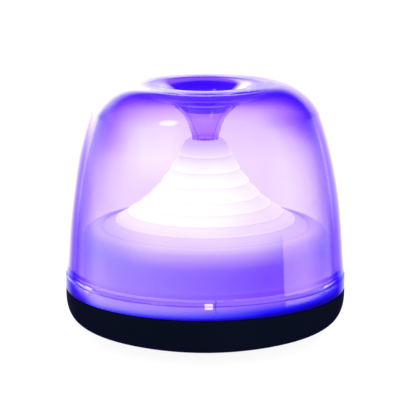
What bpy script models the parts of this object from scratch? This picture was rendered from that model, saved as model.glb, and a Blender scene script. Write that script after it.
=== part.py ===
# Floating pool light: a clear thick-walled dome with a re-entrant funnel, a stepped
# diffuser, and a black hull that holds three AA cells, the light board and the ballast.
# Z is up, the front faces -Y, and the origin is the centre of the flat foot it stands on.
# Sizes are in mm and angles in degrees from +X, unless a comment says otherwise.
import math

import bmesh
import bpy
from mathutils import Matrix, Vector

MM = 0.001

# ---------------------------------------------------------------- driving dimensions
STEPS = 36  # facets round the large turned parts
BUTTON_STEPS = 20  # round the power button and its boss
FINE = 14  # round small pins and posts
HOLE_STEPS = 12  # round screw and lead holes
PLAY = 0.3  # gap left between neighbouring pieces

HULL_R = 80.6  # widest radius, at the seam
SEAM_Z = 27.4  # top of the hull's rim
MOUTH_R = 75.6  # bore of the hull's rim and of the dome's foot
GROOVE_R_IN, GROOVE_R_OUT = 76.9, 79.3  # the dome seal's groove

LUGS = 6  # bayonet lugs that hold the dome
LUG_FIRST = -88.6  # the first one faces the front
LUG_DEG = 3.3
LUG_BOTTOM, LUG_TOP = 32.8, 35.4
LUG_ANGLES = [LUG_FIRST + 360 / LUGS * i for i in range(LUGS)]

DECK_BOTTOM, DECK_TOP = 25.0, 27.0
LEDGE_Z = DECK_BOTTOM - PLAY  # hull well, deck bosses and lock ring's flange end here
BOARD_BOTTOM, BOARD_T, BOARD_R = 31.0, 1.6, 32.0
BOARD_TOP = BOARD_BOTTOM + BOARD_T

DOOR_R = 43.0
DOOR_LUG_DEG = 16.0
DOOR_LUG_ANGLES = (90, 210, 330)
WELL_TOP = 23.0  # ceiling of the battery well inside the hull

CELL_R, CELL_L, CELL_PITCH, CELL_Z = 7.1, 50.0, 15.0, 13.7
BUTTON_Y = 57.0  # power button, under the back of the hull


# ---------------------------------------------------------------- modelling helpers
def finish(shape, name, mat=None, angle=30.0):
    """Turn a bmesh in mm into an object in metres, smooth with sharp edges kept."""
    bmesh.ops.remove_doubles(shape, verts=shape.verts, dist=1e-4)
    bmesh.ops.recalc_face_normals(shape, faces=shape.faces)
    bmesh.ops.scale(shape, vec=(MM, MM, MM), verts=shape.verts)
    mesh = bpy.data.meshes.new(name)
    shape.to_mesh(mesh)
    shape.free()
    mesh.shade_smooth()
    mesh.set_sharp_from_angle(angle=math.radians(angle))
    obj = bpy.data.objects.new(name, mesh)
    bpy.context.scene.collection.objects.link(obj)
    if mat:
        mesh.materials.append(mat)
    return obj


def place(objects, x, y, z, rotation=(0.0, 0.0, 0.0)):
    """Move objects to a spot in mm and turn them by Euler angles in radians."""
    for obj in objects:
        obj.location = (x * MM, y * MM, z * MM)
        obj.rotation_euler = rotation


def span(half, centre=0.0):
    return centre - half, centre + half


def around(radius, degrees):
    """Spots (x, y) on a circle."""
    angles = [math.radians(degree) for degree in degrees]
    return [(radius * math.cos(angle), radius * math.sin(angle)) for angle in angles]


def turn(profile, steps=STEPS, closed=True):
    """Spin (radius, z) points about Z. A profile that starts and ends on the axis isn't closed."""
    shape = bmesh.new()
    verts = [shape.verts.new((radius, 0.0, z)) for radius, z in profile]
    pairs = list(zip(verts, verts[1:] + verts[:1]))
    if not closed:
        pairs = pairs[:-1]
    edges = [shape.edges.new(pair) for pair in pairs]
    bmesh.ops.spin(
        shape,
        geom=verts + edges,
        cent=(0, 0, 0),
        axis=(0, 0, 1),
        dvec=(0, 0, 0),
        angle=2 * math.pi,
        steps=steps,
        use_merge=True,
    )
    return shape


def turned(name, profile, mat, steps=STEPS, closed=True, angle=30.0):
    return finish(turn(profile, steps, closed), name, mat, angle)


def rod(shape, radius, bottom, top, spot=(0, 0), steps=FINE, top_radius=None):
    bmesh.ops.create_cone(
        shape,
        cap_ends=True,
        cap_tris=False,
        segments=steps,
        radius1=radius,
        radius2=radius if top_radius is None else top_radius,
        depth=top - bottom,
        matrix=Matrix.Translation((spot[0], spot[1], (bottom + top) / 2)),
    )


def rods(shape, spots, radius, bottom, top, steps=HOLE_STEPS):
    for spot in spots:
        rod(shape, radius, bottom, top, spot, steps)


def rod_solid(name, radius, bottom, top, mat=None, **options):
    shape = bmesh.new()
    rod(shape, radius, bottom, top, **options)
    return finish(shape, name, mat)


def rods_solid(name, spots, radius, bottom, top, steps=HOLE_STEPS):
    shape = bmesh.new()
    rods(shape, spots, radius, bottom, top, steps)
    return finish(shape, name)


def block(shape, *spans):
    """A box from its (low, high) spans in x, y and z."""
    verts = bmesh.ops.create_cube(shape, size=1.0)["verts"]
    bmesh.ops.scale(shape, vec=[high - low for low, high in spans], verts=verts)
    bmesh.ops.translate(shape, vec=[(low + high) / 2 for low, high in spans], verts=verts)


def block_solid(name, *spans, mat=None):
    shape = bmesh.new()
    block(shape, *spans)
    return finish(shape, name, mat)


def raise_face(shape, face, height):
    """Extrude a flat region upwards into a solid."""
    made = bmesh.ops.extrude_face_region(shape, geom=face)
    top = [item for item in made["geom"] if isinstance(item, bmesh.types.BMVert)]
    bmesh.ops.translate(shape, vec=(0, 0, height), verts=top)


def sector(shape, radii, heights, angles, parts):
    """A curved block: part of a ring between two angles, extruded up."""
    start, end = angles
    bottom, top = heights
    degrees = [start + (end - start) * i / parts for i in range(parts + 1)]
    inner, outer = [
        [shape.verts.new((x, y, bottom)) for x, y in around(radius, degrees)]
        for radius in radii
    ]
    floor = [
        shape.faces.new((inner[i], outer[i], outer[i + 1], inner[i + 1]))
        for i in range(parts)
    ]
    raise_face(shape, floor, top - bottom)


def sectors_solid(name, centres, radii, heights, reach, parts):
    """One mesh of curved blocks; reach is (before, after) each centre angle."""
    shape = bmesh.new()
    for centre in centres:
        sector(shape, radii, heights, (centre + reach[0], centre + reach[1]), parts)
    return finish(shape, name)


def bevel(shape, edges, size):
    bmesh.ops.bevel(shape, geom=edges, offset=size, segments=1, affect="EDGES")


def boolean(obj, other, operation):
    """Join or cut with a helper shape that is never shown itself."""
    other.hide_render = True
    other.display_type = "WIRE"
    mod = obj.modifiers.new(operation.lower() + "_" + other.name, "BOOLEAN")
    mod.operation = operation
    mod.solver = "EXACT"
    mod.object = other


def join(obj, other):
    boolean(obj, other, "UNION")


def cut(obj, other):
    boolean(obj, other, "DIFFERENCE")


def new_curve(name, wire_radius, mat):
    """An empty 3D curve object with a round bevel and filled ends."""
    curve = bpy.data.curves.new(name, "CURVE")
    curve.dimensions = "3D"
    curve.bevel_depth = wire_radius * MM
    curve.use_fill_caps = True
    curve.materials.append(mat)
    obj = bpy.data.objects.new(name, curve)
    bpy.context.scene.collection.objects.link(obj)
    return obj


def wire(name, points, radius, mat):
    """A cable through the given points."""
    curve = new_curve(name, radius, mat).data
    curve.bevel_resolution = 1
    curve.resolution_u = 3
    spline = curve.splines.new("BEZIER")
    spline.bezier_points.add(len(points) - 1)
    for knot, point in zip(spline.bezier_points, points):
        knot.co = Vector(point) * MM
        knot.handle_left_type = knot.handle_right_type = "AUTO"


def coil(name, foot_radius, top_radius, wire_radius, turns, length, per_turn):
    """A coil spring along its own +Z from z = 0, with nearly flat end turns."""
    end_turn = 0.75  # laps at each end before the main climb
    climb_share = 0.16  # climb spread over the whole length, so the wire never meets itself
    obj = new_curve(name, wire_radius, SPRING)
    obj.data.bevel_resolution = 0
    spline = obj.data.splines.new("POLY")
    count = int(turns * per_turn) + 1
    spline.points.add(count - 1)
    for i, point in enumerate(spline.points):
        along = i / (count - 1)
        lap = along * turns
        rise = min(max((lap - end_turn) / (turns - 2 * end_turn), 0.0), 1.0)
        angle = 2 * math.pi * lap
        radius = foot_radius + (top_radius - foot_radius) * along
        climb = climb_share * along + (1 - climb_share) * rise
        z = wire_radius + (length - 2 * wire_radius) * climb
        point.co = (radius * math.cos(angle) * MM, radius * math.sin(angle) * MM, z * MM, 1.0)
    return obj


def cross(shape, reach, half, bottom, top):
    """A plus-shaped prism: twelve corners, extruded up."""
    verts = []
    for i in range(4):
        cos, sin = math.cos(math.radians(90 * i)), math.sin(math.radians(90 * i))
        for x, y in ((half, -half), (reach, -half), (reach, half)):
            verts.append(shape.verts.new((x * cos - y * sin, x * sin + y * cos, bottom)))
    raise_face(shape, [shape.faces.new(verts)], top - bottom)


def screw(name, spot, seat_z, head_r, shank_r, length, up=True):
    """Pan-head screw with a cross recess. seat_z is under the head; up puts the head on top."""
    profile = [
        (0, 0.6 * head_r),
        (0.62 * head_r, 0.56 * head_r),
        (head_r, 0.22 * head_r),
        (head_r, 0.0),
        (shank_r, 0.0),
        (shank_r, -length + 0.8),
        (0, -length),
    ]
    obj = turned(name, profile, STEEL, steps=8, closed=False)
    shape = bmesh.new()
    cross(shape, 0.6 * head_r, 0.14 * head_r, 0.26 * head_r, head_r)
    recess = finish(shape, name + "_cross")
    cut(obj, recess)
    place((obj, recess), *spot, seat_z, rotation=(0.0 if up else math.pi, 0.0, 0.0))


def screws(name, spots, **sizes):
    for i, spot in enumerate(spots):
        screw(f"{name}_{i + 1}", spot, **sizes)


def seal(name, radius, z, half_width, half_height, steps=STEPS):
    """A rubber ring of hexagonal section."""
    corners = [math.radians(degree) for degree in range(0, 360, 60)]
    profile = [
        (radius + half_width * math.cos(corner), z + half_height * math.sin(corner))
        for corner in corners
    ]
    return turned(name, profile, RUBBER, steps)


def bezier(start, lever_out, lever_in, end, parts):
    """Points along a cubic curve, without its last one."""
    points = []
    for i in range(parts):
        along = i / parts
        left = 1 - along
        weights = (left**3, 3 * left * left * along, 3 * left * along * along, along**3)
        points.append(
            tuple(
                sum(weight * value for weight, value in zip(weights, values))
                for values in zip(start, lever_out, lever_in, end)
            )
        )
    return points


def offset(points, distance):
    """The same run of points moved to its left."""
    moved = []
    for i, (radius, z) in enumerate(points):
        before = points[max(i - 1, 0)]
        after = points[min(i + 1, len(points) - 1)]
        run, rise = after[0] - before[0], after[1] - before[1]
        length = math.hypot(run, rise)
        moved.append((radius - rise / length * distance, z + run / length * distance))
    return moved


# ---------------------------------------------------------------- shared places, (x, y)
DECK_SCREWS = around(61.0, (30, 150, 270))
WEIGHT_SCREWS = around(51.0, (0, 180, 270))
BOARD_SCREWS = around(27.0, (90, 210, 330))
SWITCH_SCREWS = [(-6.4, BUTTON_Y), (6.4, BUTTON_Y)]
HOLDER_SCREWS = [(-26.4, 0.0), (26.4, 0.0)]
LEAD_Y = 33.5  # the battery leads rise through the well and deck here
LEAD_HOLES = [(-CELL_PITCH, LEAD_Y), (CELL_PITCH, -LEAD_Y)]

# ---------------------------------------------------------------- start from an empty file
for old in list(bpy.data.objects):
    bpy.data.objects.remove(old, do_unlink=True)
bpy.context.scene.unit_settings.system = "METRIC"
bpy.context.scene.unit_settings.scale_length = 1.0


# ---------------------------------------------------------------- materials
def material(name, colour, roughness, metallic=0.0, transmission=0.0, glow=None):
    mat = bpy.data.materials.new(name)
    mat.use_nodes = True
    inputs = mat.node_tree.nodes["Principled BSDF"].inputs
    inputs["Base Color"].default_value = (*colour, 1.0)
    inputs["Roughness"].default_value = roughness
    inputs["Metallic"].default_value = metallic
    inputs["Transmission Weight"].default_value = transmission
    if glow:
        inputs["Emission Color"].default_value = (*glow, 1.0)
        inputs["Emission Strength"].default_value = 1.0
    return mat


CLEAR = material("clear_plastic", colour=(0.72, 0.62, 1.0), roughness=0.04, transmission=1.0)
OPAL = material("opal_plastic", colour=(0.90, 0.84, 1.0), roughness=0.45, glow=(0.80, 0.62, 1.0))
BLACK = material("black_plastic", colour=(0.010, 0.012, 0.020), roughness=0.38)
GREY = material("grey_plastic", colour=(0.32, 0.33, 0.36), roughness=0.45)
WHITE = material("white_plastic", colour=(0.86, 0.86, 0.88), roughness=0.5)
RUBBER = material("seal_rubber", colour=(0.03, 0.03, 0.035), roughness=0.75)
STEEL = material("zinc_steel", colour=(0.62, 0.63, 0.65), roughness=0.35, metallic=1.0)
SPRING = material("spring_steel", colour=(0.74, 0.73, 0.70), roughness=0.28, metallic=1.0)
NICKEL = material("nickel_plate", colour=(0.78, 0.76, 0.72), roughness=0.25, metallic=1.0)
BOARD = material("circuit_board", colour=(0.86, 0.88, 0.87), roughness=0.4)
LED = material("led_package", colour=(0.93, 0.91, 0.80), roughness=0.35, glow=(0.75, 0.55, 1.0))
CHIP = material("chip_epoxy", colour=(0.02, 0.02, 0.022), roughness=0.5)
CELL = material("cell_sleeve", colour=(0.06, 0.16, 0.42), roughness=0.35)
RED = material("wire_red", colour=(0.62, 0.03, 0.03), roughness=0.5)
DARK = material("wire_black", colour=(0.02, 0.02, 0.02), roughness=0.5)

# ---------------------------------------------------------------- dome
# Profile points and curve levers are (radius, z), here and in every turned part.
DOME_FOOT_Z = SEAM_Z + PLAY
DOME_WALL = 4.6
COLLAR_Z = 36.0  # top of the prouder band round the foot
CREST_R, CREST_Z = 37.0, 144.7
CREST = (CREST_R, CREST_Z)  # highest ring of the dome, round the funnel
SHOULDER = (64.6, 127.5)
FUNNEL_R, FUNNEL_BOTTOM = 7.4, 108.2
THROAT = (FUNNEL_R - 3.0, FUNNEL_BOTTOM + 4.4)  # foot of the funnel's open side
DISH_EDGE, DISH_FOOT = (20.5, 142.2), (13.4, 133.9)
TRUMPET_BEND = (15.9, 132.1)

outside = (
    bezier((79.9, COLLAR_Z), (78.1, 60.0), (77.6, 93.0), SHOULDER, 7)
    + bezier(SHOULDER, (62.1, 134.2), (51.4, CREST_Z), CREST, 5)
    + [CREST]
)
# the open side: a shallow dish that drops into the throat
funnel = (
    bezier(CREST, (30.0, CREST_Z), (24.0, 144.0), DISH_EDGE, 4)[1:]
    + bezier(DISH_EDGE, (18.0, 140.9), (15.6, 137.6), DISH_FOOT, 3)
    + bezier(DISH_FOOT, (9.6, 127.6), (6.0, 122.0), THROAT, 4)
    + [THROAT]
)
funnel_tip = [
    (2.6, FUNNEL_BOTTOM + 3.6),
    (0.0, FUNNEL_BOTTOM + 3.0),
    (0.0, FUNNEL_BOTTOM),
    (FUNNEL_R, FUNNEL_BOTTOM),
]
# the funnel's surface inside the dome, from the crest down
trumpet = bezier((31.0, 139.9), (26.0, 138.6), (20.0, 137.0), TRUMPET_BEND, 3) + bezier(
    TRUMPET_BEND, (15.3, 131.3), (FUNNEL_R, 125.3), (FUNNEL_R, FUNNEL_BOTTOM), 5
)
dome = turned(
    "dome",
    [(HULL_R, DOME_FOOT_Z), (HULL_R, 34.9)]
    + outside
    + funnel
    + funnel_tip
    + trumpet[::-1]
    + offset(outside, DOME_WALL)[:0:-1]
    + [(MOUTH_R, 38.4), (MOUTH_R, DOME_FOOT_Z)],
    CLEAR,
    angle=40,
)
lugs = sectors_solid(
    "dome_lug_blocks", LUG_ANGLES, (73.8, 76.8), (LUG_BOTTOM, LUG_TOP), span(LUG_DEG / 2), 1
)
join(dome, lugs)

# ---------------------------------------------------------------- stepped diffuser
DRUM_R, DRUM_TOP = 73.1, 50.0  # straight skirt
DIFFUSER_T = 1.8  # wall
SLOPE_T = DIFFUSER_T * 1.2  # wall under the steps, square to their slope
SLOPE_DROP = 1.6  # and the extra drop below it
LIP_IN, LIP_DOWN = 0.6, 0.55  # undercut of each lip
# outer lip of each stacked ring, from the neck down to the shoulder
LIPS = [
    (15.3, 104.1), (19.7, 96.1), (25.0, 88.6), (31.1, 81.4),
    (37.4, 76.0), (44.5, 71.2), (51.6, 66.8), (58.8, 63.3),
]
# inside of the shoulder: outer radius and z, then wall shares taken off the radius and z
SHOULDER_INSIDE = [
    (64.6, 63.0, 0.3, 1.0),
    (69.4, 60.8, 0.7, 0.9),
    (72.2, 56.6, 0.9, 0.5),
    (DRUM_R, DRUM_TOP, 1.0, 0.0),
]

above = [(8.6, 112.6), (10.0, 112.6), (10.0, 111.9), (11.3, 111.5)]
for radius, z in LIPS:
    above += [(radius, z), (radius - LIP_IN, z - LIP_DOWN)]
above += [(61.0, 63.1)]
above += bezier((63.0, 63.1), (69.2, 62.4), (DRUM_R, 58.4), (DRUM_R, DRUM_TOP), 5)
skirt = [
    (DRUM_R, DRUM_TOP),
    (DRUM_R, DECK_TOP + PLAY),
    (DRUM_R - DIFFUSER_T, DECK_TOP + PLAY),
]
# the underside follows the slope of each pair of lips
below = [(8.6, 108.4), (11.2, 107.8)]
for upper, lower in zip(LIPS[::2], LIPS[1::2]):
    run, rise = lower[0] - upper[0], lower[1] - upper[1]
    length = math.hypot(run, rise)
    below.append(
        (upper[0] + rise / length * SLOPE_T, upper[1] - run / length * SLOPE_T - SLOPE_DROP)
    )
below += [(60.0, 61.0)]
for radius, z, share_in, share_down in SHOULDER_INSIDE:
    below.append((radius - DIFFUSER_T * share_in, z - DIFFUSER_T * share_down))
turned("diffuser", above + skirt + below[::-1], OPAL, angle=25)

# ---------------------------------------------------------------- bayonet ring for the dome
RING_R_IN, RING_R_OUT = 73.6, 75.2
RING_BOTTOM, RING_TOP = 22.8, 37.6
FLANGE_R = 69.4  # bore of the flange round its foot
DOME_TWIST = 8.0  # between a lug's entry slot and its pocket
SLOT_HALF = LUG_DEG / 2 + 0.5
SLOT_RADII = (72.6, 76.2)

ring = turned(
    "lock_ring",
    [
        (RING_R_OUT, RING_BOTTOM),
        (RING_R_OUT, RING_TOP),
        (RING_R_IN, RING_TOP),
        (RING_R_IN, LEDGE_Z),
        (FLANGE_R, LEDGE_Z),
        (FLANGE_R, RING_BOTTOM),
    ],
    OPAL,
)
# L-shaped slots: a pocket that the lug turns into, and an entry open at the top
pockets = sectors_solid(
    "ring_pockets",
    LUG_ANGLES,
    SLOT_RADII,
    heights=(LUG_BOTTOM - 0.6, LUG_TOP + 0.4),
    reach=(-SLOT_HALF, DOME_TWIST + SLOT_HALF),
    parts=3,
)
cut(ring, pockets)
entries = sectors_solid(
    "ring_entries",
    LUG_ANGLES,
    SLOT_RADII,
    heights=(LUG_BOTTOM + 0.8, 39.0),
    reach=span(SLOT_HALF, DOME_TWIST),
    parts=2,
)
cut(ring, entries)

# ---------------------------------------------------------------- hull
BORE_R = 38.0  # battery opening
WELL_R, WELL_T = 41.6, 2.4
DOOR_SEAT = (DOOR_R + 0.5, 2.9)
GROOVE_Z = SEAM_Z - 1.6
RIM_FOOT_Z = 24.4  # the outside is upright above this
BILGE = (72.2, 7.7)
DOOR_TWIST = 40.0
DOOR_SLOT_HALF = DOOR_LUG_DEG / 2 + 0.8
DOOR_SLOT_RADII = (BORE_R - 1.5, 39.2)

hull_outside = (
    [(DOOR_R + 0.5, 0.0)]
    + bezier((47.0, 0.0), (54.5, 1.6), (66.0, 5.2), BILGE, 4)
    + bezier(BILGE, (78.1, 10.1), (HULL_R, 15.4), (HULL_R, RIM_FOOT_Z), 6)
    + [(HULL_R, RIM_FOOT_Z), (HULL_R, SEAM_Z - 0.5), (HULL_R - 0.5, SEAM_Z)]
)
# rim with the seal's groove, then the shelf that carries the bayonet ring
hull_rim = [
    (GROOVE_R_OUT, SEAM_Z), (GROOVE_R_OUT, GROOVE_Z),
    (GROOVE_R_IN, GROOVE_Z), (GROOVE_R_IN, SEAM_Z),
    (MOUTH_R, SEAM_Z), (MOUTH_R, 22.5), (72.8, 22.5), (72.8, 13.4),
]
hull_inside = [
    (70.6, 11.0), (66.2, 8.8), (59.8, 6.3), (53.2, 4.1), (48.0, 3.2),
    (WELL_R + WELL_T, 3.2), (WELL_R + WELL_T, LEDGE_Z), (0.0, LEDGE_Z),
]
well = [
    (0.0, WELL_TOP), (WELL_R, WELL_TOP), (WELL_R, 7.6),
    (BORE_R, 7.6), (BORE_R, DOOR_SEAT[1]), DOOR_SEAT,
]
hull = turned("hull", hull_outside + hull_rim + hull_inside + well, BLACK, angle=35)
join(hull, rods_solid("deck_bosses", DECK_SCREWS, 3.6, 5.2, LEDGE_Z, FINE))
join(hull, rods_solid("weight_bosses", WEIGHT_SCREWS, 3.0, 2.4, 6.3, FINE))

# the power button's boss: a recess from below, a gland for its seal, a bore for its stem
boss = rod_solid("button_boss", 10.6, 4.2, 10.6, spot=(0, BUTTON_Y), steps=BUTTON_STEPS)
join(hull, boss)
pocket_profile = [
    (0.0, -2.0), (8.4, -2.0), (8.4, 7.8), (3.8, 7.8),
    (3.8, 9.4), (2.5, 9.4), (2.5, 12.0), (0.0, 12.0),
]
pocket = turned("button_pocket", pocket_profile, None, BUTTON_STEPS, closed=False)
place([pocket], 0.0, BUTTON_Y, 0.0)
cut(hull, pocket)

holes = bmesh.new()
rods(holes, DECK_SCREWS, 1.6, 12.0, 26.0)
rods(holes, WEIGHT_SCREWS, 1.4, 3.2, 8.0)
rods(holes, HOLDER_SCREWS, 1.05, WELL_TOP - 1.0, WELL_TOP + 1.2)
rods(holes, LEAD_HOLES, 1.7, WELL_TOP - 1.0, 26.0)
cut(hull, finish(holes, "hull_holes"))

# battery door's bayonet: three entry notches below, three pockets above
notches = sectors_solid(
    "door_notches",
    DOOR_LUG_ANGLES,
    DOOR_SLOT_RADII,
    heights=(1.5, 5.6),
    reach=span(DOOR_SLOT_HALF, -DOOR_TWIST),
    parts=3,
)
cut(hull, notches)
door_pockets = sectors_solid(
    "door_pockets",
    DOOR_LUG_ANGLES,
    DOOR_SLOT_RADII,
    heights=(4.9, 8.6),
    reach=(-DOOR_TWIST - DOOR_SLOT_HALF, DOOR_SLOT_HALF),
    parts=6,
)
cut(hull, door_pockets)

# ---------------------------------------------------------------- seal under the dome
seal("dome_seal", (GROOVE_R_IN + GROOVE_R_OUT) / 2, SEAM_Z - 0.62, 0.9, 0.68)

# ---------------------------------------------------------------- battery door
door_profile = [
    (0.0, 0.3), (DOOR_R - 0.6, 0.3), (DOOR_R, 0.9), (DOOR_R, 2.5),
    (41.9, 2.5), (41.9, 1.2), (39.6, 1.2), (39.6, 2.5),  # seal's groove
    (37.6, 2.5), (37.6, 6.7), (36.0, 6.7), (36.0, 2.7), (0.0, 2.7),  # upstanding collar
]
door = turned("battery_door", door_profile, BLACK, closed=False)
door_lugs = sectors_solid(
    "door_lugs", DOOR_LUG_ANGLES, (36.8, 38.9), (5.2, 6.7), span(DOOR_LUG_DEG / 2), 3
)
join(door, door_lugs)
cut(door, block_solid("coin_slot", span(13.0), span(1.5), (-1.0, 1.6)))
seal("door_seal", 40.75, 2.05, 0.85, 0.6)

# ---------------------------------------------------------------- ballast
BALLAST_TOP = 11.6
BALLAST_GAP = 18  # half the gap left at the back for the button

ballast = bmesh.new()
ballast_ends = (90 + BALLAST_GAP, 90 + 360 - BALLAST_GAP)
sector(ballast, (46.0, 56.6), (6.6, BALLAST_TOP), ballast_ends, 26)
ballast = finish(ballast, "ballast_ring", STEEL)
cut(ballast, rods_solid("weight_holes", WEIGHT_SCREWS, 1.5, 5.0, 13.0))
screws(
    "ballast_screw", WEIGHT_SCREWS, seat_z=BALLAST_TOP + 0.1, head_r=2.6, shank_r=1.1, length=7.8
)

# ---------------------------------------------------------------- deck that closes the hull
DECK_R = 73.2

deck_profile = [(0.0, DECK_BOTTOM), (DECK_R, DECK_BOTTOM), (DECK_R, DECK_TOP), (0.0, DECK_TOP)]
deck = turned("deck", deck_profile, WHITE, closed=False)
posts = rods_solid("board_posts", BOARD_SCREWS, 3.0, DECK_TOP - 1.0, BOARD_BOTTOM - PLAY, FINE)
join(deck, posts)
# two posts underneath hold the switch board
join(deck, rods_solid("switch_posts", SWITCH_SCREWS, 2.0, 22.7, DECK_BOTTOM + 1.0, FINE))
holes = bmesh.new()
rods(holes, DECK_SCREWS, 1.9, DECK_BOTTOM - 1.0, DECK_TOP + 1.0)
rods(holes, BOARD_SCREWS, 1.15, 25.9, BOARD_BOTTOM + 1.0)
rods(holes, SWITCH_SCREWS, 1.05, 21.0, 26.2)
rods(holes, LEAD_HOLES + [(0.0, 46.0)], 2.2, DECK_BOTTOM - 1.0, DECK_TOP + 1.0)
cut(deck, finish(holes, "deck_holes"))
screws("deck_screw", DECK_SCREWS, seat_z=DECK_TOP + 0.1, head_r=3.0, shank_r=1.3, length=12.0)

# ---------------------------------------------------------------- light board
board_profile = [
    (0.0, BOARD_BOTTOM), (BOARD_R, BOARD_BOTTOM), (BOARD_R, BOARD_TOP), (0.0, BOARD_TOP)
]
board = turned("led_board", board_profile, BOARD, steps=32, closed=False)
cut(board, rods_solid("board_holes", BOARD_SCREWS, 1.6, BOARD_BOTTOM - 1.0, BOARD_TOP + 1.0))
screws("board_screw", BOARD_SCREWS, seat_z=BOARD_TOP + 0.1, head_r=2.4, shank_r=0.85, length=5.0)


def build_led(name, spot, degree):
    """A square package with bevelled corners and a conical cup, turned to face outwards."""
    shape = bmesh.new()
    block(shape, span(2.5), span(2.5), (0.1, 1.7))
    upright = [
        edge for edge in shape.edges if abs(edge.verts[0].co.z - edge.verts[1].co.z) > 1
    ]
    bevel(shape, upright, 0.4)
    led = finish(shape, name, LED)
    cup = rod_solid(name + "_cup", 1.4, 1.1, 2.5, top_radius=2.5)
    cut(led, cup)
    place((led, cup), *spot, BOARD_TOP, rotation=(0, 0, math.radians(degree)))


LED_ANGLES = range(30, 360, 60)
for i, (spot, degree) in enumerate(zip(around(17.0, LED_ANGLES), LED_ANGLES)):
    build_led(f"led_{i + 1}", spot, degree)

chip = bmesh.new()
block(chip, span(3.0), span(2.5), (BOARD_TOP + 0.15, BOARD_TOP + 1.75))
bevel(chip, list(chip.edges), 0.25)
finish(chip, "controller_chip", CHIP)
rod_solid(
    "capacitor", 2.6, BOARD_TOP + 0.1, BOARD_TOP + 6.1, mat=NICKEL, spot=(0.0, -10.0), steps=16
)

# plug that the battery leads end in, between the deck and the board
block_solid("battery_plug", span(5.0), (-25.6, -20.0), (27.3, 30.7), mat=WHITE)

# ---------------------------------------------------------------- battery holder
HOLDER_TOP = 22.7
EAR_BOTTOM = 20.9

holder = block_solid("battery_holder", span(23.6), span(29.0), (11.2, HOLDER_TOP), mat=GREY)
cut(holder, block_solid("holder_cavity", span(22.6), span(27.6), (9.0, 21.4)))
# ribs between the cells
ribs = bmesh.new()
for x in (-CELL_PITCH / 2, CELL_PITCH / 2):
    block(ribs, span(0.7, x), span(26.0), (17.6, 22.0))
join(holder, finish(ribs, "holder_ribs"))
ears = bmesh.new()
for side in (-1, 1):
    block(ears, sorted((side * 23.0, side * 29.4)), span(4.0), (EAR_BOTTOM, HOLDER_TOP))
join(holder, finish(ears, "holder_ears"))
holes = bmesh.new()
rods(holes, HOLDER_SCREWS, 1.35, 20.0, 24.0, steps=10)
# slots in the end walls that the lead tabs pass through
for side in (1, -1):
    slot_y = sorted((side * 27.0, side * 30.0))
    block(holes, span(2.0, -side * CELL_PITCH), slot_y, (18.0, 20.4))
cut(holder, finish(holes, "holder_holes"))
screws(
    "holder_screw",
    HOLDER_SCREWS,
    seat_z=EAR_BOTTOM - 0.1,
    head_r=2.0,
    shank_r=0.75,
    length=2.9,
    up=False,
)

# ---------------------------------------------------------------- cells and their contacts
CELL_END = CELL_L / 2
CAN_END = CELL_END - 1.4  # the positive nub stands above this
PLATE_Y = 27.1  # mid-thickness of the contact plates
# cells 1 and 3 point to +Y, cell 2 to -Y: (x, side of the positive end)
CELLS = [(-CELL_PITCH, 1), (0.0, -1), (CELL_PITCH, 1)]
# name, x span, side, x of the pressed bump for a cell's positive end;
# positive out at the back left, negative out at the front right
PLATES = [
    ("contact_positive", (-21.6, -8.6), 1, -CELL_PITCH),
    ("bridge_plate_back", (-7.0, 21.6), 1, CELL_PITCH),
    ("bridge_plate_front", (-21.6, 7.0), -1, 0.0),
    ("contact_negative", (8.6, 21.6), -1, None),
]

cell_profile = [
    (0.0, -CELL_END),
    (CELL_R - 1.4, -CELL_END),
    (CELL_R - 1.2, -CELL_END + 0.3),
    (CELL_R - 0.4, -CELL_END + 0.3),
    (CELL_R, -CELL_END + 0.8),
    (CELL_R, CAN_END - 0.6),
    (CELL_R - 0.6, CAN_END),
    (2.7, CAN_END),
    (2.6, CELL_END),
    (0.0, CELL_END),
]
for i, (x, side) in enumerate(CELLS):
    cell = turned(f"cell_{i + 1}", cell_profile, CELL, steps=16, closed=False)
    place([cell], x, 0.0, CELL_Z, rotation=(-math.pi / 2 * side, 0.0, 0.0))

for name, x_span, side, bump_x in PLATES:
    plate = block_solid(name, x_span, span(0.2, side * PLATE_Y), (11.6, 20.6), mat=NICKEL)
    if bump_x is not None:
        bump = rod_solid(name + "_bump", 3.4, 0.0, 1.8, top_radius=2.2)
        facing_in = (math.pi / 2 * side, 0.0, 0.0)
        place([bump], bump_x, side * PLATE_Y, CELL_Z, rotation=facing_in)
        join(plate, bump)

# a conical spring at each cell's negative end
for i, (x, side) in enumerate(CELLS):
    spring = coil(
        f"contact_spring_{i + 1}",
        foot_radius=4.4,
        top_radius=2.8,
        wire_radius=0.25,
        turns=2.5,
        length=1.7,
        per_turn=10,
    )
    place([spring], x, -side * 26.8, CELL_Z, rotation=(-math.pi / 2 * side, 0.0, 0.0))

# ---------------------------------------------------------------- battery leads, (x, y, z)
LEAD_R = 0.75
positive_path = [
    (-CELL_PITCH, 28.0, 19.2), (-CELL_PITCH, 31.6, 19.6), (-CELL_PITCH, LEAD_Y, 22.6),
    (-CELL_PITCH, LEAD_Y, 26.5), (-13.6, 26.0, 29.0), (-6.0, -6.0, 28.9), (-2.6, -19.5, 28.9),
]
negative_path = [
    (CELL_PITCH, -28.0, 19.2), (CELL_PITCH, -31.6, 19.6), (CELL_PITCH, -LEAD_Y, 22.6),
    (CELL_PITCH, -LEAD_Y, 27.0), (11.0, -31.5, 29.0), (4.0, -28.5, 29.0), (2.6, -26.1, 29.0),
]
wire("lead_positive", positive_path, LEAD_R, RED)
wire("lead_negative", negative_path, LEAD_R, DARK)

# ---------------------------------------------------------------- power button
STEM_R = 2.2
CAP_R, CAP_TOP = 7.2, 4.4

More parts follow.
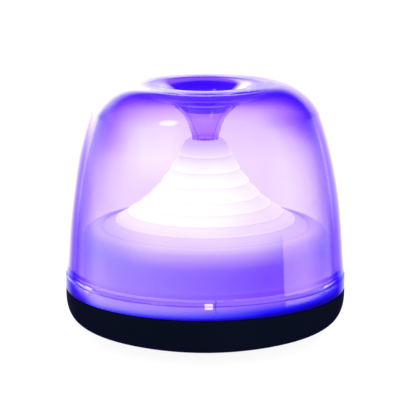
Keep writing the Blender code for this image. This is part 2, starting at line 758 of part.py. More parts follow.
button_profile = [
    (0.0, 1.6), (6.2, 1.6), (CAP_R, 2.4), (CAP_R, CAP_TOP), (STEM_R, CAP_TOP),
    (STEM_R, 11.0), (1.6, 11.0), (1.6, 11.7), (STEM_R, 11.7),  # clip's groove
    (STEM_R, 13.0), (0.0, 13.0),
]
button = turned("power_button", button_profile, GREY, BUTTON_STEPS, closed=False)
button_spring = coil(
    "button_spring",
    foot_radius=5.0,
    top_radius=5.0,
    wire_radius=0.22,
    turns=3.5,
    length=2.9,
    per_turn=12,
)
clip = bmesh.new()
sector(clip, (1.85, 3.9), (11.15, 11.55), span(130), 10)
clip = finish(clip, "button_clip", SPRING)
gland = seal("button_seal", 3.0, 8.55, 0.6, 0.6, steps=16)
place((button, clip, gland), 0.0, BUTTON_Y, 0.0)
place([button_spring], 0.0, BUTTON_Y, CAP_TOP + 0.2)

# ---------------------------------------------------------------- switch above the button
SWITCH_SPOT = (0.0, BUTTON_Y)
SWITCH_BOARD_BOTTOM = 21.0

switch_board = block_solid(
    "switch_board", span(9.0), span(7.0, BUTTON_Y), (SWITCH_BOARD_BOTTOM, 22.4), mat=BOARD
)
cut(switch_board, rods_solid("switch_board_holes", SWITCH_SCREWS, 1.2, 20.0, 23.4))
screws(
    "switch_screw",
    SWITCH_SCREWS,
    seat_z=SWITCH_BOARD_BOTTOM - 0.1,
    head_r=1.6,
    shank_r=0.75,
    length=4.6,
    up=False,
)
switch_body = block_solid(
    "switch_body", span(4.0), span(4.0, BUTTON_Y), (16.4, 20.7), mat=CHIP
)
cut(switch_body, rod_solid("switch_bore", 1.9, 15.0, 19.6, spot=SWITCH_SPOT))
rod_solid("switch_plunger", 1.6, 13.3, 17.6, mat=WHITE, spot=SWITCH_SPOT)
switch_path = [
    (0.0, 51.6, 23.3), (0.0, 48.6, 23.4), (0.0, 46.1, 25.4),
    (0.0, 45.4, 28.0), (0.0, 39.0, 29.4), (0.0, 31.4, 29.6),
]
wire("switch_lead", switch_path, 0.55, DARK)
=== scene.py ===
"""A round battery light: a black hull, a clear dome with a funnel in its top, and under the
dome a stepped diffuser that glows white above and violet below.

The light stands upright on the Z axis, nearly every piece turned about it. The front is -Y,
the right is +X, and the power button is under the hull at +Y. Sizes are in mm, and are
scaled to metres where vertices are made. The pieces inside keep their CAD meshes.
"""

import bmesh
import bpy
import math
from mathutils import Matrix, Vector


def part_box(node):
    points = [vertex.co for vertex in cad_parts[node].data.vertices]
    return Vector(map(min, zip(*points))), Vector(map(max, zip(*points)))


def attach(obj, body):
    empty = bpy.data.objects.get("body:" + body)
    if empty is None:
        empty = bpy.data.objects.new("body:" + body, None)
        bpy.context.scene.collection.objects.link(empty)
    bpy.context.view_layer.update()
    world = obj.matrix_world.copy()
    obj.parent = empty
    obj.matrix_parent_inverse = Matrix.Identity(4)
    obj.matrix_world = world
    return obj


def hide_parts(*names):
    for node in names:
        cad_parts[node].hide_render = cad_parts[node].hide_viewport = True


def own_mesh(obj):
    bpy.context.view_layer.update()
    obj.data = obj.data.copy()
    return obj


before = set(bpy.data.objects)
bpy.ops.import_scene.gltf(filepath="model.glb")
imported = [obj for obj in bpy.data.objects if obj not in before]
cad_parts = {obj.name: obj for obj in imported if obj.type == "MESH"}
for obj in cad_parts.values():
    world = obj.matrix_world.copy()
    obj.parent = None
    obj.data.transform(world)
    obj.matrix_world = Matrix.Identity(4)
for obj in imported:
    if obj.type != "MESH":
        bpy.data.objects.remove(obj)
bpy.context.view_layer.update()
MM = 0.001  # metres in a millimetre
WHITE = (1, 1, 1)
scene = bpy.context.scene


# ================================================================ node helpers
class Graph:
    """A node tree with short ways to add and link nodes."""

    def __init__(self, tree):
        self.tree = tree

    def new(self, kind):
        return self.tree.nodes.new("ShaderNode" + kind)

    def put(self, node, key, value):
        """Links a socket to an input, or sets the input's value."""
        socket = node.inputs[key]
        if isinstance(value, bpy.types.NodeSocket):
            self.tree.links.new(value, socket)
        elif socket.type == "RGBA":
            socket.default_value = (*value, 1.0)
        else:
            socket.default_value = value

    def math(self, operation, *values):
        node = self.new("Math")
        node.operation = operation
        for i, value in enumerate(values):
            self.put(node, i, value)
        return node.outputs[0]

    def plus(self, first, second):
        return self.math("ADD", first, second)

    def minus(self, first, second):
        return self.math("SUBTRACT", first, second)

    def times(self, first, second):
        return self.math("MULTIPLY", first, second)

    def span(self, value, start, end, to=(0.0, 1.0), smooth=False):
        """value mapped from start..end to the pair in to, held at the ends."""
        node = self.new("MapRange")
        node.interpolation_type = "SMOOTHSTEP" if smooth else "LINEAR"
        keys = ("Value", "From Min", "From Max", "To Min", "To Max")
        for key, number in zip(keys, (value, start, end, *to)):
            self.put(node, key, number)
        return node.outputs["Result"]

    def span_mm(self, value, start, end, to=(0.0, 1.0), smooth=False):
        """A span whose start and end are in mm."""
        return self.span(value, start * MM, end * MM, to, smooth)

    def within(self, value, centre, half):
        """1 where value is less than half away from centre, else 0."""
        return self.math("LESS_THAN", self.math("ABSOLUTE", self.minus(value, centre)), half)

    def degrees(self, y, x):
        return self.times(self.math("ARCTAN2", y, x), 180 / math.pi)

    def radius(self, x, y):
        return self.math("SQRT", self.plus(self.times(x, x), self.times(y, y)))


class Shader(Graph):
    """A Principled material, read in the object's own coordinates."""

    def __init__(self, name):
        self.material = bpy.data.materials.new(name)
        self.material.use_nodes = True
        super().__init__(self.material.node_tree)
        self.bsdf = self.tree.nodes["Principled BSDF"]
        self._coords = None

    def set(self, **values):
        for key, value in values.items():
            self.put(self.bsdf, key.replace("_", " "), value)
        return self

    @property
    def coords(self):
        if self._coords is None:
            self._coords = self.new("TexCoord")
        return self._coords.outputs["Object"]

    def xyz(self):
        node = self.new("SeparateXYZ")
        self.put(node, 0, self.coords)
        return node.outputs

    def ramp(self, value, stops):
        """A colour ramp. stops: rows of position, red, green, blue."""
        node = self.new("ValToRGB")
        elements = node.color_ramp.elements
        elements.remove(elements[-1])
        for i, (position, *colour) in enumerate(stops):
            element = elements[0] if i == 0 else elements.new(position)
            element.position = position
            element.color = (*colour, 1.0)
        self.put(node, "Fac", value)
        return node.outputs["Color"]

    def mix(self, factor, first, second, blend="MIX", clamp=False):
        node = self.new("Mix")
        node.data_type = "RGBA"
        node.blend_type = blend
        node.clamp_result = clamp
        for i, value in ((0, factor), (6, first), (7, second)):
            self.put(node, i, value)
        return node.outputs[2]

    def multiply(self, first, second, clamp=False):
        return self.mix(1.0, first, second, "MULTIPLY", clamp)

    def tint(self, colour, where, tint, clamp=False):
        """colour multiplied by tint where the mask is 1."""
        return self.multiply(colour, self.mix(where, WHITE, tint), clamp)

    def noise(self, scale, detail=3.0, rough=0.55, stretch=None, distortion=0.0):
        vector = self.coords
        if stretch:
            mapping = self.new("Mapping")
            self.put(mapping, "Scale", stretch)
            self.put(mapping, "Vector", vector)
            vector = mapping.outputs[0]
        node = self.new("TexNoise")
        keys = ("Vector", "Scale", "Detail", "Roughness", "Distortion")
        for key, value in zip(keys, (vector, scale, detail, rough, distortion)):
            self.put(node, key, value)
        return node.outputs["Fac"]

    def bump(self, height, strength, distance):
        """A normal from a height. distance is in metres."""
        node = self.new("Bump")
        self.put(node, "Strength", strength)
        self.put(node, "Distance", distance)
        self.put(node, "Height", height)
        return node.outputs["Normal"]

    def squared(self, colour):
        """A glass tint: the shader takes a colour's root at each skin, so it gets the square."""
        node = self.new("Gamma")
        self.put(node, "Gamma", 2.0)
        self.put(node, "Color", colour)
        return node.outputs[0]

    def facing(self):
        node = self.new("LayerWeight")
        self.put(node, "Blend", 0.5)
        return node.outputs["Facing"]

    def backfacing(self):
        return self.new("NewGeometry").outputs["Backfacing"]

    def from_sixth(self, angle, shift):
        """Degrees from the nearest of six places round the axis, -30 to 30."""
        return self.minus(self.math("MODULO", self.plus(angle, shift), 60.0), 30.0)


# ================================================================ mesh helpers
def box_mm(node):
    """The low and high corners of a CAD node's box."""
    low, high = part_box(node)
    return [v * 1000 for v in low], [v * 1000 for v in high]


def polar(radius, degrees):
    angle = math.radians(degrees)
    return radius * math.cos(angle), radius * math.sin(angle)


def circle(radius, steps, at=(0.0, 0.0)):
    angles = [2 * math.pi * k / steps for k in range(steps)]
    return [(at[0] + radius * math.cos(a), at[1] + radius * math.sin(a)) for a in angles]


def bezier(p0, p1, p2, p3, parts):
    """Points along a cubic curve, without its last one."""
    out = []
    for i in range(parts):
        t = i / parts
        s = 1 - t
        out.append(
            tuple(
                s**3 * a + 3 * s * s * t * b + 3 * s * t * t * c + t**3 * d
                for a, b, c, d in zip(p0, p1, p2, p3)
            )
        )
    return out


def offset(points, distance):
    """A profile moved sideways, to the left of its direction of travel."""
    out = []
    for i, (r, z) in enumerate(points):
        before = points[max(i - 1, 0)]
        after = points[min(i + 1, len(points) - 1)]
        dr, dz = after[0] - before[0], after[1] - before[1]
        length = math.hypot(dr, dz)
        out.append((r - dz / length * distance, z + dr / length * distance))
    return out


def soften(points, rounding, parts=4):
    """Rounds the inner corners of an open profile, by one radius or by one per point."""
    count = len(points)
    radii = [rounding] * count if isinstance(rounding, float) else rounding
    out = [points[0]]
    for i in range(1, count - 1):
        corner, before, after = points[i], points[i - 1], points[i + 1]
        back = (before[0] - corner[0], before[1] - corner[1])
        ahead = (after[0] - corner[0], after[1] - corner[1])
        back_len, ahead_len = math.hypot(*back), math.hypot(*ahead)
        back = (back[0] / back_len, back[1] / back_len)
        ahead = (ahead[0] / ahead_len, ahead[1] / ahead_len)
        cosine = max(-1, min(1, back[0] * ahead[0] + back[1] * ahead[1]))
        half = math.acos(cosine) / 2
        if half > math.radians(88):
            out.append(corner)  # nearly straight
            continue
        cut = min(radii[i] / math.tan(half), 0.45 * back_len, 0.45 * ahead_len)
        start = [corner[n] + back[n] * cut for n in (0, 1)]
        end = [corner[n] + ahead[n] * cut for n in (0, 1)]
        for k in range(parts + 1):
            t = k / parts
            out.append(
                tuple(
                    (1 - t) ** 2 * start[n] + 2 * t * (1 - t) * corner[n] + t * t * end[n]
                    for n in (0, 1)
                )
            )
    return out + [points[-1]]


def soften_rows(rows):
    """soften for rows of radius, height, rounding."""
    return soften([row[:2] for row in rows], [row[2] for row in rows])


def smooth_shade(mesh, sharp):
    mesh.shade_smooth()
    mesh.set_sharp_from_angle(angle=math.radians(sharp))


def add_object(name, mesh):
    obj = bpy.data.objects.new(name, mesh)
    scene.collection.objects.link(obj)
    return obj


def lathe(name, profile, segs=192, closed=True, marks=None, slots=None, sharp=35.0):
    """A turned mesh from (radius, height) points. Points on the axis make one vertex each.
    marks: a number for each point, kept as the attribute 'mark'.
    slots: a material index for each profile edge."""
    verts, rings = [], []
    for radius, z in profile:
        base = len(verts)
        if radius < 1e-6:
            rings.append([base])
            verts.append((0.0, 0.0, z * MM))
        else:
            rings.append([base + k for k in range(segs)])
            verts += [(x * MM, y * MM, z * MM) for x, y in circle(radius, segs)]
    faces, index = [], []
    count = len(profile)
    for i in range(count if closed else count - 1):
        ring, following = rings[i], rings[(i + 1) % count]
        if len(ring) == 1 and len(following) == 1:
            continue
        for k in range(segs):
            k1 = (k + 1) % segs
            if len(ring) == 1:
                face = (ring[0], following[k1], following[k])
            elif len(following) == 1:
                face = (ring[k], ring[k1], following[0])
            else:
                face = (ring[k], ring[k1], following[k1], following[k])
            faces.append(face)
            index.append(slots[i] if slots else 0)
    mesh = bpy.data.meshes.new(name)
    mesh.from_pydata(verts, [], faces)
    mesh.polygons.foreach_set("material_index", index)
    if marks:
        attribute = mesh.attributes.new("mark", "FLOAT", "POINT")
        values = []
        for ring, mark in zip(rings, marks):
            values += [mark] * len(ring)
        attribute.data.foreach_set("value", values)
    mesh.update()
    form = bmesh.new()
    form.from_mesh(mesh)
    bmesh.ops.recalc_face_normals(form, faces=form.faces)
    form.to_mesh(mesh)
    form.free()
    smooth_shade(mesh, sharp)
    return add_object(name, mesh)


def from_form(name, form, sharp=35.0):
    """An object from a bmesh; sharp=None leaves it flat shaded."""
    bmesh.ops.recalc_face_normals(form, faces=form.faces)
    mesh = bpy.data.meshes.new(name)
    form.to_mesh(mesh)
    form.free()
    if sharp is not None:
        smooth_shade(mesh, sharp)
    return add_object(name, mesh)


def ring_grid(form, r0, r1, angles, heights, solid):
    """A closed wall between two radii, built from cells (angle step, height step).
    solid(i, j) says which cells are there."""
    count = len(angles)
    cache = {}

    def vert(side, i, j):
        key = (side, i % count, j)
        if key not in cache:
            x, y = polar((r0, r1)[side], angles[i % count])
            cache[key] = form.verts.new((x * MM, y * MM, heights[j] * MM))
        return cache[key]

    def face(*corners):
        form.faces.new([vert(*corner) for corner in corners])

    def present(i, j):
        return 0 <= j < len(heights) - 1 and solid(i % count, j)

    for i in range(count):
        for j in range(len(heights) - 1):
            if not present(i, j):
                continue
            i1, j1 = i + 1, j + 1
            face((0, i, j), (0, i, j1), (0, i1, j1), (0, i1, j))
            face((1, i, j), (1, i1, j), (1, i1, j1), (1, i, j1))
            if not present(i, j - 1):
                face((0, i, j), (0, i1, j), (1, i1, j), (1, i, j))
            if not present(i, j1):
                face((0, i, j1), (1, i, j1), (1, i1, j1), (0, i1, j1))
            if not present(i - 1, j):
                face((0, i, j), (1, i, j), (1, i, j1), (0, i, j1))
            if not present(i1, j):
                face((0, i1, j), (0, i1, j1), (1, i1, j1), (1, i1, j))


def prism(form, outline, z0, z1):
    """A closed upright prism on an outline of (x, y) points."""
    low, high = [
        [form.verts.new((x * MM, y * MM, z * MM)) for x, y in outline] for z in (z0, z1)
    ]
    count = len(outline)
    for k in range(count):
        k1 = (k + 1) % count
        form.faces.new((low[k], low[k1], high[k1], high[k]))
    form.faces.new(low[::-1])
    form.faces.new(high)


def rods(name, rows):
    """Upright cylinders in one mesh. rows: radius, bottom, top, steps, centres."""
    form = bmesh.new()
    for radius, z0, z1, steps, centres in rows:
        for at in centres:
            prism(form, circle(radius, steps, at), z0, z1)
    return from_form(name, form)


def sector(form, r0, r1, z0, z1, a0, a1, parts):
    """A closed curved block between two radii, two heights and two angles."""
    columns = []
    for i in range(parts + 1):
        column = []
        for radius, z in ((r0, z0), (r1, z0), (r1, z1), (r0, z1)):
            x, y = polar(radius, a0 + (a1 - a0) * i / parts)
            column.append(form.verts.new((x * MM, y * MM, z * MM)))
        columns.append(column)
    for here, following in zip(columns, columns[1:]):
        for k in range(4):
            k1 = (k + 1) % 4
            form.faces.new((here[k], here[k1], following[k1], following[k]))
    form.faces.new(columns[0])
    form.faces.new(columns[-1][::-1])


def move(obj, x, y):
    """Shifts the mesh inside its object."""
    obj.data.transform(Matrix.Translation((x * MM, y * MM, 0.0)))


def solid_cut(obj, cutter, operation="DIFFERENCE"):
    """A Boolean that is applied at once, so the finished mesh holds the cut."""
    modifier = obj.modifiers.new("cut", "BOOLEAN")
    modifier.operation = operation
    modifier.solver = "EXACT"
    modifier.object = cutter
    graph = bpy.context.evaluated_depsgraph_get()
    mesh = bpy.data.meshes.new_from_object(
        obj.evaluated_get(graph), preserve_all_data_layers=True, depsgraph=graph
    )
    obj.modifiers.remove(modifier)
    old = obj.data
    obj.data = mesh
    bpy.data.meshes.remove(old)
    bpy.data.objects.remove(cutter)


def paint(obj, *shaders):
    polygons = obj.data.polygons
    index = [0] * len(polygons)
    polygons.foreach_get("material_index", index)
    obj.data.materials.clear()
    for shader in shaders:
        obj.data.materials.append(shader.material)
    if len(shaders) > 1:
        polygons.foreach_set("material_index", index)


def place(obj, body, node=None):
    """Ties an object to its moving body and, if it has one, hides the CAD node it replaces."""
    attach(obj, body)
    if node:
        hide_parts(node)


# ================================================================ driving sizes
(_, _, DOME_Z0), (DOME_R, _, CREST_Z) = box_mm("dome")
(_, _, HULL_Z0), (HULL_R, _, SEAM_Z) = box_mm("hull")
(_, _, DIFFUSER_Z0), (DRUM_R, _, _) = box_mm("diffuser")
(_, _, RING_Z0), (RING_R, _, RING_Z1) = box_mm("lock_ring")
SEGS = 216  # round the large turned pieces

# the dome's six lugs sit in pockets of the bayonet ring, in degrees round the axis
FIRST_LUG = -88.6
LUG_WIDTH = 3.3
TWIST = 8.0  # from a pocket's locked end to its way in
POCKET_HALF = LUG_WIDTH / 2 + 0.5
STOP_AT, STOP_HALF = 2.8, 0.36  # the painted dark line of shade at the pocket's stop edge
STOP_EDGES = (2.6, 3.0)
STOP_SHADE_COLOUR = (0.05, 0.02, 0.55)

# ================================================================ dome: outer skin
# Ramps are rows of position, red, green, blue, and paint light and shade on the clear glass.
# Limb ramps run from facing the viewer (0) to edge on (1).
FOOT_SHADE = [  # up the collar: painted shade, dark blue low down and clear above
    (0, 0.04, 0.05, 0.25), (0.12, 0.14, 0.16, 0.60), (0.30, 0.45, 0.44, 0.95),
    (0.50, 0.88, 0.82, 1), (0.72, 1, 1, 1),
]
LIMB_LOW = [
    (0, 1, 1, 1), (0.46, 1, 1, 1), (0.52, 0.90, 0.80, 1), (0.58, 0.78, 0.64, 1),
    (0.62, 0.70, 0.54, 1), (0.66, 0.55, 0.37, 1), (0.70, 0.36, 0.21, 1), (0.76, 0.28, 0.15, 1),
    (0.82, 0.36, 0.23, 1), (0.92, 0.75, 0.68, 1), (1, 0.85, 0.8, 1),
]
LIMB_HIGH = [
    (0, 1, 1, 1), (0.48, 1, 1, 1), (0.57, 0.82, 0.66, 1), (0.65, 0.45, 0.23, 1),
    (0.73, 0.38, 0.17, 1), (0.81, 0.36, 0.20, 1), (0.87, 0.52, 0.40, 1), (1, 0.74, 0.66, 1),
]
LIMB_MIDDLE = [
    (0, 1, 1, 1), (0.48, 1, 1, 1), (0.57, 0.95, 0.88, 1), (0.65, 0.80, 0.66, 1),
    (0.73, 0.72, 0.56, 1), (0.79, 0.62, 0.50, 1), (0.87, 0.82, 0.76, 1), (1, 0.9, 0.86, 1),
]
LIMB_LEFT = [
    (0, 1, 1, 1), (0.50, 1, 1, 1), (0.60, 0.88, 0.78, 1), (0.68, 0.62, 0.44, 1),
    (0.76, 0.54, 0.36, 1), (0.82, 0.50, 0.35, 1), (0.88, 0.68, 0.57, 1), (1, 0.80, 0.74, 1),
]
LIMB_FOOT = [
    (0, 1, 1, 1), (0.26, 1, 1, 1), (0.40, 0.96, 0.92, 1), (0.50, 0.98, 0.95, 1),
    (0.57, 0.90, 0.80, 1), (0.62, 0.46, 0.29, 1), (0.67, 0.27, 0.13, 1), (0.76, 0.20, 0.08, 1),
    (0.83, 0.28, 0.15, 1), (0.92, 0.60, 0.50, 1), (1, 0.80, 0.72, 1),
]
THROAT_TINT = [  # up the funnel, painted light and shade
    (0, 1, 1, 1), (0.30, 1, 0.98, 1), (0.42, 0.92, 0.82, 1), (0.56, 0.72, 0.52, 0.99),
    (0.70, 0.25, 0.09, 0.97), (0.78, 0.14, 0.022, 0.97), (0.84, 0.18, 0.035, 0.97),
    (0.87, 0.22, 0.09, 0.98), (0.90, 0.66, 0.56, 1), (0.93, 0.94, 0.92, 1),
]


def limb_tint(mat, x, z):
    """Painted light: the violet that gathers towards the dome's outline."""
    facing = mat.facing()
    low = mat.ramp(facing, LIMB_LOW)
    high = mat.ramp(facing, LIMB_HIGH)
    middle = mat.ramp(facing, LIMB_MIDDLE)
    left = mat.ramp(facing, LIMB_LEFT)
    high = mat.mix(mat.span_mm(x, start=-28, end=-48, smooth=True), high, left)
    off_middle = mat.span_mm(mat.math("ABSOLUTE", x), start=12, end=34, smooth=True)
    high = mat.mix(off_middle, middle, high)
    foot = mat.ramp(facing, LIMB_FOOT)
    low = mat.mix(mat.span_mm(z, start=60, end=90, smooth=True), foot, low)
    # painted light: the left edge of the wall is paler than the right one
    pale_left, deep_right = (1.75, 2.4, 1), (0.60, 0.46, 1)
    side = mat.mix(mat.span_mm(x, start=-20, end=20), pale_left, deep_right)
    edge = mat.times(mat.span(facing, start=0.75, end=0.83), mat.span_mm(z, start=104, end=84))
    low = mat.tint(low, edge, side, clamp=True)
    return mat.mix(mat.span_mm(z, start=112, end=132, smooth=True), low, high)


def outer_skin():
    mat = Shader("dome_outer_skin")
    x, y, z = mat.xyz()
    wave = mat.noise(scale=38, detail=2, rough=0.5)
    micro = mat.noise(scale=900, detail=4, rough=0.6)
    mat.set(
        Base_Color=WHITE,  # clear wherever the tint is unlinked
        Roughness=mat.span(micro, start=0.3, end=0.8, to=(0.0, 0.02)),
        IOR=1.49,
        Transmission_Weight=1.0,
        Normal=mat.bump(wave, strength=0.06, distance=0.0006),
    )
    # the foot's painted shade tilts across the front and climbs at the far left
    tilt, climb = 0.03, 4.6 * MM
    rise = mat.plus(mat.times(x, tilt), mat.span_mm(x, start=-62, end=-77, to=(0.0, climb)))
    foot = mat.ramp(mat.span_mm(mat.minus(z, rise), start=27.3, end=36.4), FOOT_SHADE)
    limb = limb_tint(mat, x, z)
    # painted light: the throat of the funnel gathers the deepest violet
    radius = mat.radius(x, y)
    throat = mat.ramp(mat.span_mm(z, start=125, end=145), THROAT_TINT)
    specular = mat.span_mm(radius, start=25, end=30, to=(0.08, 0.5), smooth=True)
    mat.set(Specular_IOR_Level=specular)
    throat = mat.mix(mat.span_mm(radius, start=24, end=27, smooth=True), throat, WHITE)
    tint = mat.multiply(mat.multiply(limb, foot), throat)
    # the shadowed step at the top of the collar
    step = mat.within(z, centre=35.5 * MM, half=0.24 * MM)
    shadow = (0.66, 0.54, 0.99)
    tint = mat.mix(step, tint, mat.multiply(tint, shadow))
    # a painted violet glow on the funnel's wall
    mat.set(
        Emission_Color=(0.03, 0.002, 1.0),
        Emission_Strength=mat.times(
            mat.span_mm(radius, start=20, end=24, to=(1, 0)),
            mat.span_mm(z, start=130, end=138, to=(0, 0.7)),
        ),
        Base_Color=mat.squared(tint),
    )
    return mat


# ================================================================ dome: inner skin
# it carries the painted violet light of the lit cavity
FAR_TINT = [  # the far wall, by facing
    (0, 0.84, 0.67, 1), (0.28, 0.80, 0.64, 1), (0.38, 0.74, 0.55, 1), (0.46, 0.66, 0.46, 0.99),
    (0.58, 0.50, 0.30, 0.98), (0.68, 0.38, 0.20, 0.98), (0.80, 0.26, 0.11, 0.97),
    (1, 0.14, 0.035, 0.95),
]
NEAR_LOW = [  # the near wall, by facing
    (0, 0.99, 0.98, 1), (0.10, 0.98, 0.96, 1), (0.18, 0.97, 0.93, 1), (0.225, 0.95, 0.90, 1),
    (0.27, 0.82, 0.72, 0.99),
]
NEAR_HIGH = [
    (0, 0.97, 0.93, 1), (0.09, 0.93, 0.88, 1), (0.15, 0.83, 0.71, 1), (0.20, 0.64, 0.44, 0.99),
    (0.27, 0.42, 0.20, 0.97),
]
CAVITY_TOP = [  # by height
    (0, 1, 1, 1), (0.55, 0.93, 0.89, 1), (0.72, 0.92, 0.84, 1), (0.84, 0.88, 0.77, 1),
    (0.91, 0.86, 0.73, 1), (0.955, 0.80, 0.65, 0.99), (0.98, 0.62, 0.42, 0.98),
    (1, 0.56, 0.33, 0.97),
]
WELL_TINT = [  # round the funnel, by height
    (0, 0.84, 0.70, 1), (0.18, 0.68, 0.47, 1), (0.5, 0.80, 0.65, 0.99),
    (0.62, 0.74, 0.59, 0.99), (0.8, 0.93, 0.79, 1), (1, 0.95, 0.80, 1),
]


def far_wall_tint(mat, facing_tint, x, z):
    """The far wall, with painted light and shade: paler or deeper in four patches."""
    pale_right = mat.times(
        mat.span_mm(x, start=38, end=64), mat.span_mm(z, start=104, end=122, to=(1, 0))
    )
    far = mat.tint(facing_tint, pale_right, (1.12, 1.20, 1.0))
    deep_left = mat.times(
        mat.span_mm(x, start=-48, end=-68), mat.span_mm(z, start=92, end=104)
    )
    far = mat.tint(far, deep_left, (0.74, 0.58, 1.0))
    glow = mat.times(
        mat.times(mat.span_mm(x, start=-8, end=-22), mat.span_mm(x, start=-52, end=-38)),
        mat.times(mat.span_mm(z, start=70, end=90), mat.span_mm(z, start=122, end=112)),
    )
    far = mat.tint(far, glow, (1.10, 1.22, 1.0), clamp=True)
    deep_right = mat.times(
        mat.span_mm(x, start=28, end=58, smooth=True),
        mat.times(
            mat.span_mm(z, start=103, end=119, smooth=True),
            mat.span_mm(z, start=119, end=131, to=(1, 0), smooth=True),
        ),
    )
    return mat.tint(far, deep_right, (0.66, 0.48, 1.0))


def inner_skin():
    mat = Shader("dome_inner_skin")
    x, y, z = mat.xyz()
    facing = mat.facing()
    far = mat.ramp(facing, FAR_TINT)
    near_low = mat.ramp(facing, NEAR_LOW)
    near_high = mat.ramp(facing, NEAR_HIGH)
    near = mat.mix(mat.span_mm(z, start=106, end=130, smooth=True), near_low, near_high)
    # painted light: the violet deepens towards the top of the cavity
    high = mat.ramp(mat.span_mm(z, start=110, end=141), CAVITY_TOP)
    far = far_wall_tint(mat, far, x, z)
    wall = mat.mix(mat.backfacing(), far, mat.multiply(near, high))
    well = mat.ramp(mat.span_mm(z, start=108, end=140), WELL_TINT)
    radius = mat.radius(x, y)
    cloud = mat.noise(scale=14, detail=2, rough=0.5)
    # a painted violet glow over the whole inner skin, a little cloudy
    return mat.set(
        Base_Color=mat.squared(
            mat.mix(mat.span_mm(radius, start=24, end=36, smooth=True), well, wall)
        ),
        Roughness=0.0,
        IOR=1.49,
        Transmission_Weight=1.0,
        Emission_Color=(0.01, 0.0, 1.0),
        Emission_Strength=mat.span(cloud, start=0.3, end=0.7, to=(0.45, 0.55)),
    )


outer = outer_skin()
inner = inner_skin()
# the foot of the wall, where the lamps' light gathers before it is guided up the wall
foot_glow = Shader("dome_foot_glow").set(
    Base_Color=(0.01, 0.01, 0.05),
    Roughness=0.6,
    Emission_Color=(0.06, 0.015, 0.90),
    Emission_Strength=1.0,
)

# ================================================================ diffuser material
DIFFUSER_GLOW = [  # painted glow by height: violet down the skirt, white on the steps
    (0, 0.02, 0.015, 0.45), (0.024, 0.045, 0.03, 0.80), (0.05, 0.22, 0.10, 0.93),
    (0.075, 0.29, 0.135, 0.95), (0.12, 0.22, 0.08, 0.96), (0.18, 0.15, 0.028, 0.97),
    (0.26, 0.14, 0.022, 0.97), (0.31, 0.17, 0.045, 0.97), (0.35, 0.32, 0.155, 0.97),
    (0.39, 0.50, 0.33, 0.97), (0.42, 0.76, 0.60, 0.98), (0.455, 0.94, 0.82, 1),
    (0.49, 1.06, 0.99, 1.05), (0.54, 1.18, 1.23, 1.14), (0.62, 1.22, 1.32, 1.15),
    (0.72, 1.22, 1.32, 1.13), (0.80, 1.14, 1.20, 1.12), (0.86, 1.08, 1.08, 1.10),
    (0.92, 0.99, 0.90, 1.04), (0.96, 0.90, 0.76, 1), (1, 0.80, 0.62, 0.98),
]


def diffuser_glow():
    mat = Shader("diffuser_glow")
    x, y, z = mat.xyz()
    # low down, the painted glow tilts across the front
    tilt = mat.times(x, mat.span_mm(z, start=34, end=46, to=(0.03, 0)))
    glow = mat.ramp(mat.span_mm(mat.minus(z, tilt), start=27, end=113), DIFFUSER_GLOW)
    # the lamps light the front and back a little more than the sides
    side = mat.times(
        mat.span_mm(mat.math("ABSOLUTE", x), start=24, end=60, smooth=True),
        mat.span_mm(z, start=50, end=56),
    )
    side = mat.times(side, mat.span_mm(z, start=61.5, end=68.5, to=(1, 0)))
    left_tint, right_tint = (0.42, 0.30, 0.99), (0.50, 0.38, 0.99)
    side_tint = mat.mix(mat.span_mm(x, start=-20, end=20), left_tint, right_tint)
    glow = mat.tint(glow, side, side_tint)
    # the right flank of the steps is a little dimmer
    flank = mat.times(
        mat.span_mm(x, start=2, end=34, smooth=True), mat.span_mm(z, start=64, end=72)
    )
    glow = mat.tint(glow, flank, (0.86, 0.76, 1.0))
    # low on the skirt the sides catch more of the white room
    low = mat.times(
        mat.span_mm(mat.math("ABSOLUTE", x), start=40, end=64, smooth=True),
        mat.times(mat.span_mm(z, start=34, end=39), mat.span_mm(z, start=58, end=48)),
    )
    glow = mat.tint(glow, low, (1.35, 1.75, 1.0))
    # the mesh's marks paint a highlight on the lips and shade in the grooves under them
    mark = mat.new("Attribute")
    mark.attribute_name = "mark"
    lip_highlight_tint, groove_shade_tint = (1.06, 1.06, 1.06), (0.80, 0.70, 0.97)
    marked = mat.mix(mat.span(mark.outputs["Fac"], start=-1, end=1), lip_highlight_tint, groove_shade_tint)
    # painted shade: the dark line of the pocket's stop edge beside each lug, seen against the
    # skirt
    from_lug = mat.from_sixth(mat.degrees(y, x), shift=360 - FIRST_LUG + 30)
    edge = mat.within(from_lug, centre=STOP_AT, half=STOP_HALF)
    below = mat.math("LESS_THAN", z, 36.2 * MM)
    above = mat.math("GREATER_THAN", z, 29.0 * MM)
    glow = mat.mix(mat.times(edge, mat.times(below, above)), glow, STOP_SHADE_COLOUR)
    noise = mat.noise(scale=26, detail=3, rough=0.5)
    cloud = mat.span(noise, start=0.35, end=0.65, to=(0.97, 1.03))
    light = mat.multiply(glow, marked)
    cloud_colour = mat.new("CombineColor")
    for channel, value in (("Red", cloud), ("Green", cloud), ("Blue", 1.0)):
        mat.put(cloud_colour, channel, value)
    grain = mat.noise(scale=420, detail=4, rough=0.6)
    return mat.set(
        Base_Color=(0.10, 0.05, 0.16),
        Roughness=0.5,
        Emission_Color=mat.multiply(light, cloud_colour.outputs[0]),
        Emission_Strength=1.0,
        Normal=mat.bump(grain, strength=0.12, distance=0.00015),
        Specular_IOR_Level=0.25,
    )


diffuser_painted_glow = diffuser_glow()


# ================================================================ hull material
def hull_black():
    mat = Shader("hull_black")
    grain = mat.noise(scale=1500, detail=3, rough=0.6)
    patch = mat.noise(scale=18, detail=4, rough=0.6)
    dark, pale = (0.0022, 0.0040, 0.0105), (0.0030, 0.0052, 0.0130)
    return mat.set(
        Base_Color=mat.mix(mat.span(patch, start=0.3, end=0.7), dark, pale),
        Roughness=mat.span(patch, start=0.3, end=0.7, to=(0.42, 0.55)),
        IOR=1.03,
        Normal=mat.bump(grain, strength=0.15, distance=0.00004),
    )


black = hull_black()

